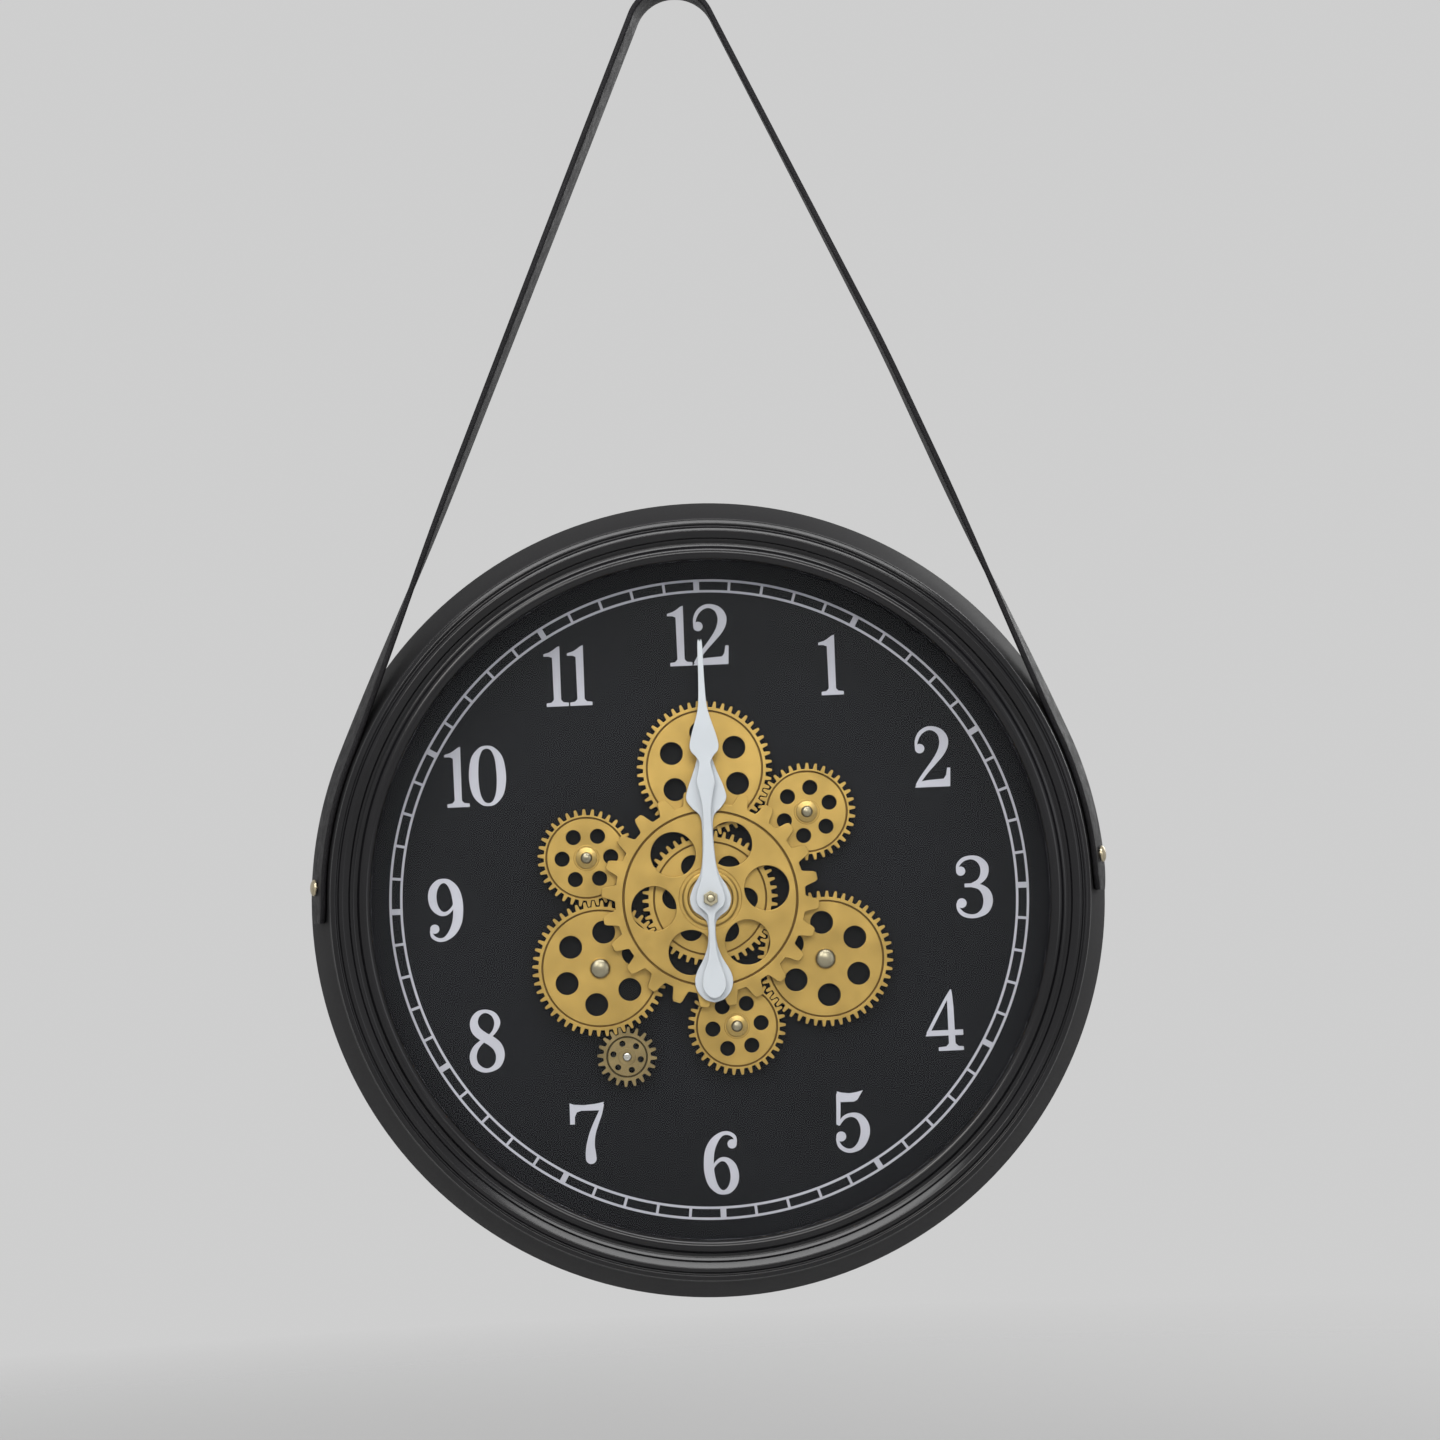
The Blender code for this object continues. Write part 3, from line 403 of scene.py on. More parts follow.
def makeBezel():
    radius, steps = bezel["bead"], bezel["beadSteps"]
    middleR, middleD = bezel["opening"] + radius, bezel["valley"][1] - bezel["beadDrop"]
    start, end = bezel["beadArc"]
    angles = [radians(start + (end - start) * i / steps) for i in range(steps + 1)]
    bead = [(middleR + radius * cos(a), middleD + radius * sin(a), 0) for a in angles]
    stepR, stepD = bezel["step"]
    lineWidth, lineDepth = bezel["line"]
    lineR, lineD = stepR - bezel["stepSlant"], stepD - bezel["stepDrop"]
    profile = filleted((
        (bezel["spigotRadius"], bezel["seat"], 0),
        (drum["frontRadius"], bezel["seat"], 0.5),
        (*bezel["shoulder"], 1.2),
        (*bezel["ridge"], 0.9),
        (*bezel["hollow"], 0.6),
        (*bezel["crestEdge"], 0.7),
        (*bezel["crest"], 1.0),
        (stepR, stepD, 0.2),
        (lineR, lineD - lineDepth, 0),
        (lineR - lineWidth, lineD - lineDepth * 0.5, 0.15),
        (*bezel["valley"], 1.8),
        *bead,
        (bezel["opening"], bezel["glassSeat"], 0.3),
        (bezel["glassRadius"], bezel["glassSeat"], 0),
        (bezel["glassRadius"], bezel["spigotDepth"], 0.3),
        (bezel["spigotRadius"], bezel["spigotDepth"], 0.3),
    ), 6)
    piece = newPiece("bezelRing", lathe(profile, bezel["segments"]), finishes["black_lacquer"])
    # the outer flank is satin like the drum
    piece.data.materials.append(caseSatin)
    for face in piece.data.polygons:
        x, y, z = (face.center - wallPoint) / mm
        face.material_index = int(Vector((x, z)).length > bezel["satinFrom"])
    fit(piece, "clock_case", "black_lacquer", "bezel_ring")


spacer = dict(inner=171.0, wall=3.0, flange=178.0, flangeThickness=2.2, back=22.3, front=50.7, segments=192)


def makeSpacer():
    inner, outer = spacer["inner"], spacer["inner"] + spacer["wall"]
    step = spacer["back"] + spacer["flangeThickness"]
    profile = filleted((
        (inner, spacer["back"], 0.4),
        (spacer["flange"], spacer["back"], 0.4),
        (spacer["flange"], step, 0.4),
        (outer, step, 0.4),
        (outer, spacer["front"], 0.4),
        (inner, spacer["front"], 0.4),
    ), 3)
    piece = newPiece("spacerRing", lathe(profile, spacer["segments"]), finishes["black_plastic"])
    fit(piece, "clock_case", "black_plastic", "spacer_ring")


makeDrum()
makeBezel()
makeSpacer()
print("case turned")


# geometry node trees


def startTree(name, **inputs):
    kinds = {int: "NodeSocketInt", float: "NodeSocketFloat", Vector: "NodeSocketVector",
             bpy.types.Material: "NodeSocketMaterial", bpy.types.Object: "NodeSocketObject"}
    tree = bpy.data.node_groups.new(name, "GeometryNodeTree")
    tree.interface.new_socket("Mesh", in_out="OUTPUT", socket_type="NodeSocketGeometry")
    for label, kind in inputs.items():
        tree.interface.new_socket(label, in_out="INPUT", socket_type=kinds[kind])
    return tree, tree.nodes.new("NodeGroupInput").outputs


def endTree(tree, result, finish):
    whole = addNode(tree, "GeometryNodeRealizeInstances", {0: result}).outputs[0]
    painted = addNode(tree, "GeometryNodeSetMaterial", {0: whole, "Material": finish}).outputs[0]
    tree.links.new(painted, tree.nodes.new("NodeGroupOutput").inputs[0])


def grow(name, tree, values, **rounding):
    # run a tree on an empty piece and keep the plain mesh
    piece = bpy.data.objects.new(name, bpy.data.meshes.new(name))
    scene.collection.objects.link(piece)
    modifier = piece.modifiers.new(tree.name, "NODES")
    modifier.node_group = tree
    for item in tree.interface.items_tree:
        if item.in_out == "INPUT":
            modifier[item.identifier] = values[item.name]
    return settle(plainMesh(piece), **rounding)


def vector(tree, x=0.0, y=0.0, z=0.0):
    return addNode(tree, "ShaderNodeCombineXYZ", {0: x, 1: y, 2: z}).outputs[0]


def join(tree, *parts):
    node = addNode(tree, "GeometryNodeJoinGeometry")
    for part in parts:
        tree.links.new(part, node.inputs[0])
    return node.outputs[0]


def circleCurve(tree, resolution, radius):
    inputs = {"Resolution": resolution, "Radius": radius}
    return addNode(tree, "GeometryNodeCurvePrimitiveCircle", inputs).outputs[0]


def moved(tree, geometry, **change):
    inputs = {"Geometry": geometry, **{key.capitalize(): value for key, value in change.items()}}
    return addNode(tree, "GeometryNodeTransform", inputs).outputs[0]


def level(tree, depth, *curves):
    # a flat face at a depth between the loops
    filled = addNode(tree, "GeometryNodeFillCurve", {0: join(tree, *curves)}, mode="NGONS").outputs[0]
    return moved(tree, filled, translation=vector(tree, z=depth))


def upright(tree, curve, low, high):
    # a wall along a loop between two depths
    edges = addNode(tree, "GeometryNodeCurveToMesh", {0: moved(tree, curve, translation=vector(tree, z=low))})
    rise = vector(tree, z=calc(tree, "SUBTRACT", high, low))
    inputs = {"Mesh": edges.outputs[0], "Offset": rise, "Offset Scale": 1.0}
    return addNode(tree, "GeometryNodeExtrudeMesh", inputs, mode="EDGES").outputs[0]


def sunken(tree, amount, *parts):
    # faces that the finish darkens with painted shade, mixing in its recess colour by the given amount
    inputs = {"Geometry": join(tree, *parts), "Name": "recess", "Value": amount}
    node = addNode(tree, "GeometryNodeStoreNamedAttribute", inputs, data_type="FLOAT", domain="FACE")
    return node.outputs[0]


def shapedCircle(tree, resolution, start, radius, angle):
    # a closed curve with every point at its own radius and angle
    spot = vector(tree, calc(tree, "MULTIPLY", radius, calc(tree, "COSINE", angle)),
                  calc(tree, "MULTIPLY", radius, calc(tree, "SINE", angle)))
    inputs = {"Geometry": circleCurve(tree, resolution, start), "Position": spot}
    return addNode(tree, "GeometryNodeSetPosition", inputs).outputs[0]


def welded(tree, *parts):
    inputs = {"Geometry": join(tree, *parts), "Distance": 0.001}
    return addNode(tree, "GeometryNodeMergeByDistance", inputs).outputs[0]


def standUp(tree, shape, given):
    # from millimetres with the depth along z to metres in front of the wall
    stood = moved(tree, shape, rotation=(pi / 2, 0.0, 0.0), scale=(mm, mm, mm), translation=given["Place"])
    endTree(tree, stood, given["Finish"])
    return tree


def pick(tree, index, values):
    node = addNode(tree, "GeometryNodeIndexSwitch", data_type="FLOAT")
    while len(node.index_switch_items) < len(values):
        node.index_switch_items.new()
    tree.links.new(index, node.inputs[0])
    for i, value in enumerate(values):
        node.inputs[i + 1].default_value = value
    return node.outputs[0]


# wheels: one tooth given as (height over the pitch circle, half width), in modules, root to tip


fineTooth = ((-1.25, 0.84), (-1.0, 0.75), (0.0, 0.62), (0.80, 0.48), (1.0, 0.34))
broadTooth = ((-6.7, 4.2), (-5.9, 3.75), (-3.6, 3.15), (-1.3, 2.6), (0.0, 1.75))
wheelPoints = dict(web=120, bore=40, hub=64, hole=48)   # points on each circle of a wheel
holeCount = 6


def wheelTree(name, tooth):
    tree, given = startTree(
        name, Teeth=int, Pitch=float, Module=float, Phase=float, Back=float, Front=float, WebRadius=float,
        WebDrop=float, GrooveWidth=float, GrooveDrop=float, HoleCircle=float, HoleRadius=float,
        HoleAngle=float, BoreRadius=float, HubRadius=float, HubFront=float, Place=Vector,
        Finish=bpy.types.Material)
    profile = [(h, -w) for h, w in tooth] + [(h, w) for h, w in reversed(tooth)]
    count = len(profile)
    index = addNode(tree, "GeometryNodeInputIndex").outputs[0]
    number = calc(tree, "FLOOR", calc(tree, "DIVIDE", index, float(count)))
    step = calc(tree, "MODULO", index, float(count))
    height = pick(tree, step, [h for h, w in profile])
    half = pick(tree, step, [w for h, w in profile])
    radius = calc(tree, "MULTIPLY_ADD", height, given["Module"], given["Pitch"])
    turn = calc(tree, "DIVIDE", calc(tree, "MULTIPLY", number, 2 * pi), given["Teeth"])
    lean = calc(tree, "DIVIDE", calc(tree, "MULTIPLY", half, given["Module"]), radius)
    angle = calc(tree, "ADD", given["Phase"], calc(tree, "ADD", turn, lean))
    resolution = calc(tree, "MULTIPLY", given["Teeth"], float(count))
    outline = shapedCircle(tree, resolution, given["Pitch"], radius, angle)

    grooveRadius = calc(tree, "SUBTRACT", given["WebRadius"], given["GrooveWidth"])
    web = circleCurve(tree, wheelPoints["web"], given["WebRadius"])
    groove = circleCurve(tree, wheelPoints["web"], grooveRadius)
    bore = circleCurve(tree, wheelPoints["bore"], given["BoreRadius"])
    hub = circleCurve(tree, wheelPoints["hub"], given["HubRadius"])
    hole = circleCurve(tree, wheelPoints["hole"], given["HoleRadius"])
    spots = circleCurve(tree, holeCount, given["HoleCircle"])
    spots = moved(tree, spots, rotation=vector(tree, z=given["HoleAngle"]))
    inputs = {"Points": spots, "Instance": hole}
    holes = addNode(tree, "GeometryNodeInstanceOnPoints", inputs).outputs[0]
    holes = addNode(tree, "GeometryNodeRealizeInstances", {0: holes}).outputs[0]

    back, front, hubFront = given["Back"], given["Front"], given["HubFront"]
    webFront = calc(tree, "SUBTRACT", front, given["WebDrop"])
    grooveFloor = calc(tree, "SUBTRACT", front, given["GrooveDrop"])
    shell = welded(
        tree,
        level(tree, back, outline, holes, bore), level(tree, front, outline, web),
        level(tree, webFront, groove, holes, hub), level(tree, hubFront, hub, bore),
        upright(tree, hub, webFront, hubFront), upright(tree, bore, back, hubFront),
        # painted shade: the groove takes 0.8 of the recess colour, the tooth and hole walls 0.45
        sunken(tree, 0.8, level(tree, grooveFloor, web, groove), upright(tree, web, grooveFloor, front),
               upright(tree, groove, grooveFloor, webFront)),
        sunken(tree, 0.45, upright(tree, outline, back, front), upright(tree, holes, back, webFront)))
    return standUp(tree, shell, given)


train = dict(module=1.35, largeTeeth=48, smallTeeth=34, pinionTeeth=20, back=26.0, front=30.0, webDrop=0.55,
             grooveWidth=0.85, grooveDrop=1.6, hubDrop=0.25, bore=3.0, pinionBore=2.15, bevel=0.14,
             pinionBevel=0.12, centreBore=6.0, centreHubFront=32.7,
             largeAngles={"top": 90.0, "lower_left": 210.0, "lower_right": 330.0},
             drivers={"upper_right": "top", "left": "lower_left", "bottom": "lower_right"}, pinionAngle=284.5)
faces = {   # web radius, hole circle, hole radius, hub radius
    "large": (29.2, 18.1, 5.7, 5.2), "small": (20.4, 12.1, 3.75, 6.3), "pinion": (10.3, 6.9, 1.5, 4.2),
    "front": (43.7, 28.5, 11.2, 15.6), "centre": (28.4, 18.1, 5.7, 9.5),
}
holeAngles = {"top": 33.3, "lower_left": 22.1, "lower_right": 33.5, "upper_right": 20.1, "left": 0.5,
              "bottom": 5.0, "pinion": 47.5, "centre": -3.5, "front": 8.0}
frontWheel = dict(teeth=24, tipRadius=54.1, angle=9.5, back=33.0, front=37.0, bore=6.0, hubDrop=0.75,
                  webDrop=0.6, grooveWidth=1.0, grooveDrop=1.8, bevel=0.22)


def meshingPhase(phase, teeth, direction, mateTeeth):
    share = ((direction - phase) / 360 * teeth) % 1
    return direction + 180 - 360 / mateTeeth * (0.5 - share)


def trainPlaces():
    module, large, small = train["module"], train["largeTeeth"], train["smallTeeth"]
    orbit = module * large
    step = 2 * degrees(asin(module * (large + small) / 4 / orbit))
    places = {name: polar(orbit, angle) for name, angle in train["largeAngles"].items()}
    for name, driver in train["drivers"].items():
        places[name] = polar(orbit, train["largeAngles"][driver] - step)
    reach = polar(module * (large + train["pinionTeeth"]) / 2, train["pinionAngle"])
    places["pinion"] = tuple(a + b for a, b in zip(places["lower_left"], reach))
    return places


places = trainPlaces()


def growWheel(name, tree, teeth, phase, face, holeAngle, at=(0.0, 0.0), **changes):
    webRadius, holeCircle, holeRadius, hubRadius = faces[face]
    finish = changes.pop("finish", "gold_wheel")
    bevel = changes.pop("bevel", train["bevel"])
    values = dict(
        Teeth=teeth, Pitch=train["module"] * teeth / 2, Module=train["module"], Phase=radians(phase),
        Back=train["back"], Front=train["front"], WebRadius=webRadius, WebDrop=train["webDrop"],
        GrooveWidth=train["grooveWidth"], GrooveDrop=train["grooveDrop"], HoleCircle=holeCircle,
        HoleRadius=holeRadius, HoleAngle=radians(holeAngle), BoreRadius=train["bore"], HubRadius=hubRadius,
        HubFront=train["front"] - train["hubDrop"], Finish=finishes[finish],
        Place=wallPoint + Vector((at[0], 0, at[1])) * mm)
    values.update(changes)
    return grow(name, tree, values, bevel=bevel)


def makeWheels():
    fine, broad = wheelTree("fine wheel", fineTooth), wheelTree("broad wheel", broadTooth)
    large, small, pinion = train["largeTeeth"], train["smallTeeth"], train["pinionTeeth"]
    phases = {name: meshingPhase(0.0, large, angle, large) for name, angle in train["largeAngles"].items()}
    for name, phase in phases.items():
        piece = growWheel(f"{name}Wheel", fine, large, phase, "large", holeAngles[name], places[name])
        fit(piece, f"{name}_wheel", "gold_wheel", f"{name}_wheel")
    for name, driver in train["drivers"].items():
        toMate = Vector(places[name]) - Vector(places[driver])
        phase = meshingPhase(phases[driver], large, degrees(toMate.angle_signed(Vector((1, 0)))), small)
        piece = growWheel(f"{name}Wheel", fine, small, phase, "small", holeAngles[name], places[name])
        fit(piece, f"{name}_wheel", "gold_wheel", f"{name}_wheel")
    phase = meshingPhase(phases["lower_left"], large, train["pinionAngle"], pinion)
    piece = growWheel("drivePinion", fine, pinion, phase, "pinion", holeAngles["pinion"], places["pinion"],
                      BoreRadius=train["pinionBore"], finish="bronze_wheel", bevel=train["pinionBevel"])
    fit(piece, "drive_pinion", "bronze_wheel", "drive_pinion")
    piece = growWheel("centreWheel", fine, large, 0.0, "centre", holeAngles["centre"],
                      BoreRadius=train["centreBore"], HubFront=train["centreHubFront"])
    fit(piece, "centre_wheels", "gold_wheel", "centre_wheel")
    size = frontWheel
    piece = growWheel("frontWheel", broad, size["teeth"], size["angle"], "front", holeAngles["front"],
                      Pitch=size["tipRadius"], Module=1.0, Back=size["back"], Front=size["front"],
                      BoreRadius=size["bore"], HubFront=size["front"] - size["hubDrop"],
                      WebDrop=size["webDrop"], GrooveWidth=size["grooveWidth"],
                      GrooveDrop=size["grooveDrop"], bevel=size["bevel"])
    fit(piece, "centre_wheels", "gold_wheel", "front_wheel")


makeWheels()
print("wheel train grown")


# stamping of like shapes, and the screws on the wheels


def stampTree(name):
    # copies of a shape at the points of a guide mesh
    tree, given = startTree(name, Shape=bpy.types.Object, Guide=bpy.types.Object, Finish=bpy.types.Material)
    shape = addNode(tree, "GeometryNodeObjectInfo", {"Object": given["Shape"], "As Instance": True})
    guide = addNode(tree, "GeometryNodeObjectInfo", {"Object": given["Guide"]})
    turned = addNode(tree, "GeometryNodeInputNamedAttribute", {"Name": "turn"}, data_type="FLOAT").outputs[0]
    inputs = {"Points": guide.outputs["Geometry"], "Instance": shape.outputs["Geometry"],
              "Rotation": vector(tree, y=turned)}
    stamped = addNode(tree, "GeometryNodeInstanceOnPoints", inputs).outputs[0]
    endTree(tree, stamped, given["Finish"])
    return tree


stamp = stampTree("stamp")


def stampPieces(name, bm, spots, finish):
    # the shape is in millimetres about its own axis, spots are (x, depth, z, turn in degrees)
    bmesh.ops.recalc_face_normals(bm, faces=bm.faces)
    bmesh.ops.scale(bm, vec=(mm, mm, mm), verts=bm.verts)
    shapeMesh = bpy.data.meshes.new("shape")
    bm.to_mesh(shapeMesh)
    bm.free()
    guideMesh = bpy.data.meshes.new("guide")
    guideMesh.from_pydata([wallPoint + Vector((x, -d, z)) * mm for x, d, z, turn in spots], [], [])
    turns = guideMesh.attributes.new("turn", "FLOAT", "POINT")
    for i, spot in enumerate(spots):
        turns.data[i].value = radians(spot[3])
    helpers = [bpy.data.objects.new(mesh.name, mesh) for mesh in (shapeMesh, guideMesh)]
    for helper in helpers:
        scene.collection.objects.link(helper)
    piece = grow(name, stamp, dict(Shape=helpers[0], Guide=helpers[1], Finish=finish), sharp=30.0)
    for helper in helpers:
        bpy.data.objects.remove(helper)
    return piece


screw = dict(seat=30.6, headRadius=4.9, headHeight=2.6, washerRadius=5.3, washerHeight=0.6, domeRadius=2.9,
             domeHeight=1.9, shank=1.2, tail=20.4, foot=0.15, domeRim=0.3, domeFoot=0.25, sides=40)


def domeProfile(radius, height, lift=0.0, rim=0.6):
    # from the rim up to the middle of a domed head
    angles = [radians(9 * i) for i in range(10)]
    dome = [(radius * cos(a), lift + rim + (height - rim) * sin(a)) for a in angles]
    return dome + [(0.0, lift + height)]


def makeWheelScrews():
    size = screw
    tail, shank, foot = size["tail"] - size["seat"], size["shank"], size["foot"]
    head, dome = size["headRadius"], size["domeRadius"]
    washer, thick = size["washerRadius"], size["washerHeight"]
    stem = [(0.0, tail), (shank, tail), (shank, 0.0)]
    largeHead = stem + [(head - foot, 0.0), (head, foot)] + domeProfile(head, size["headHeight"])
    corners = ((washer, 0.0, foot), (washer, thick, 0.25), (dome + size["domeFoot"], thick, 0.0))
    smallHead = stem + filleted(corners, 3)[:-1]
    smallHead += domeProfile(dome, size["domeHeight"], thick, size["domeRim"])
    heads = {"large": (largeHead, train["largeAngles"]), "small": (smallHead, train["drivers"])}
    for label, (profile, names) in heads.items():
        spots = [(places[name][0], size["seat"], places[name][1], 0.0) for name in names]
        bm = lathe(profile, size["sides"])
        if label == "small":   # the washer under the dome has the tone of the wheel
            marks = bm.faces.layers.float.new("recess")
            for face in bm.faces:
                face[marks] = float(face.calc_center_median().xz.length > dome + 0.1)
        piece = stampPieces(f"{label}WheelScrews", bm, spots, screwCap)
        fit(piece, "clock_case", "nickel", *[f"{name}_screw" for name in names])


makeWheelScrews()
print("wheel screws stamped")


# hands


hourStations = (
    (-51.5, 0), (-50, 4.6), (-46, 8.2), (-41, 9.4), (-36, 8.2), (-29, 4.4), (-22, 2.2), (-13, 2.0),
    (-9.4, 4.0), (-5.6, 8.6), (0, 10.2), (6, 8.2), (12, 4.8), (20, 3.2), (34, 2.7), (41, 3.5), (45, 7.3),
    (49.6, 10.0), (55, 8.9), (60.5, 6.8), (66, 4.8), (74, 2.6), (84.6, 1.2), (86, 0))
minuteStations = (
    (-49.5, 0), (-48.2, 3.0), (-44, 5.6), (-38, 5.2), (-30, 2.6), (-22, 1.6), (-10, 1.6), (-6.6, 3.0),
    (-3.6, 6.2), (0, 7.1), (4.5, 6.2), (10, 4.4), (20, 3.0), (30, 2.3), (44, 2.1), (52, 3.4), (58, 4.6),
    (62.0, 3.8), (67.0, 2.9), (70.4, 4.4), (72.8, 6.5), (75.8, 7.2), (80.0, 6.4), (84.5, 5.1), (90, 3.4),
    (96, 2.1), (108, 1.5), (126.8, 1.15), (127.9, 0))
hands = {   # stations along the hand, back, hole radius, body
    "hourHand": (hourStations, 40.0, 4.3, "hour_hand"),
    "minuteHand": (minuteStations, 43.2, 2.1, "minute_hand"),
}
handThickness = 1.1


def makeHands():
    for name, (stations, back, hole, body) in hands.items():
        side = smoothRun(stations, 6)
        outline = [(w, a) for a, w in side] + [(-w, a) for a, w in reversed(side[1:-1])]
        bm = plate([outline, ring(hole, 48)], back, back + handThickness)
        piece = newPiece(name, bm, finishes["white_hand"], bevel=0.3, segments=3)
        fit(piece, body, "white_hand", body)


handNut = dict(radius=3.9, back=44.6, front=46.5, hole=1.85)
hubWasher = dict(inner=6.0, radius=14.0, back=36.5, front=38.3, chamfer=(0.9, 0.7), lip=(2.6, 3.1), sink=0.4)


def makeHub():
    size = handNut
    bm = plate([ring(size["radius"], 6, start=30), ring(size["hole"], 32)], size["back"], size["front"])
    piece = newPiece("handNut", bm, finishes["brass"], bevel=0.3, segments=3)
    fit(piece, "minute_hand", "brass", "hand_nut")
    size = hubWasher
    inner, radius, back, front = (size[key] for key in ("inner", "radius", "back", "front"))
    (chamferR, chamferD), (lipOuter, lipInner), sunk = size["chamfer"], size["lip"], front - size["sink"]
    profile = filleted((
        (inner, back, 0.1), (radius, back, 0.2), (radius, front - chamferD, 0.3),
        (radius - chamferR, front, 0.4), (radius - lipOuter, front, 0.2), (radius - lipInner, sunk, 0.2),
        (inner, sunk, 0.2)), 3)
    piece = newPiece("hubWasher", lathe(profile, 96), finishes["gold_wheel"])
    fit(piece, "clock_case", "gold_wheel", "hub_washer")


makeHands()
makeHub()
print("hands cut")


# dial print: minute track and numerals


track = dict(outer=160.0, inner=153.4, line=1.2, tick=1.35, fifthTick=2.9, back=21.97, front=22.12)


def trackTree(name):
    tree, given = startTree(name, Outer=float, Inner=float, Line=float, Tick=float, Fifth=float, Back=float,
                            Height=float, Place=Vector, Finish=bpy.types.Material)
    parts = []
    half = calc(tree, "DIVIDE", given["Line"], 2.0)
    front = calc(tree, "ADD", given["Back"], given["Height"])
    for radius in (given["Outer"], given["Inner"]):
        wide = circleCurve(tree, 360, calc(tree, "ADD", radius, half))
        narrow = circleCurve(tree, 360, calc(tree, "SUBTRACT", radius, half))
        parts += [level(tree, given["Back"], wide, narrow), level(tree, front, wide, narrow),
                  upright(tree, wide, given["Back"], front), upright(tree, narrow, given["Back"], front)]
    middle = calc(tree, "DIVIDE", calc(tree, "ADD", given["Outer"], given["Inner"]), 2.0)
    # a tick reaches just into both lines
    length = calc(tree, "SUBTRACT", calc(tree, "SUBTRACT", given["Outer"], given["Inner"]),
                  calc(tree, "MULTIPLY", given["Line"], 0.96))
    inputs = {"Size": vector(tree, length, 1.0, given["Height"])}
    bar = addNode(tree, "GeometryNodeMeshCube", inputs).outputs[0]
    index = addNode(tree, "GeometryNodeInputIndex").outputs[0]
    isFifth = calc(tree, "LESS_THAN", calc(tree, "MODULO", index, 5.0), 0.5)
    wider = calc(tree, "MULTIPLY", isFifth, calc(tree, "SUBTRACT", given["Fifth"], given["Tick"]))
    inputs = {"Points": circleCurve(tree, 60, middle), "Instance": bar,
              "Rotation": vector(tree, z=calc(tree, "MULTIPLY", index, 2 * pi / 60)),
              "Scale": vector(tree, 1.0, calc(tree, "ADD", given["Tick"], wider), 1.0)}
    ticks = addNode(tree, "GeometryNodeInstanceOnPoints", inputs).outputs[0]
    lift = calc(tree, "MULTIPLY_ADD", given["Height"], 0.5, given["Back"])
    parts.append(moved(tree, ticks, translation=vector(tree, z=lift)))
    return standUp(tree, join(tree, *parts), given)


def makeTrack():
    values = dict(Outer=track["outer"] - track["line"] / 2, Inner=track["inner"] + track["line"] / 2,
                  Line=track["line"], Tick=track["tick"], Fifth=track["fifthTick"], Back=track["back"],
                  Height=track["front"] - track["back"], Place=wallPoint, Finish=dialPrint)
    fit(grow("minuteTrack", trackTree("minute track"), values), "clock_case", "white_hand")


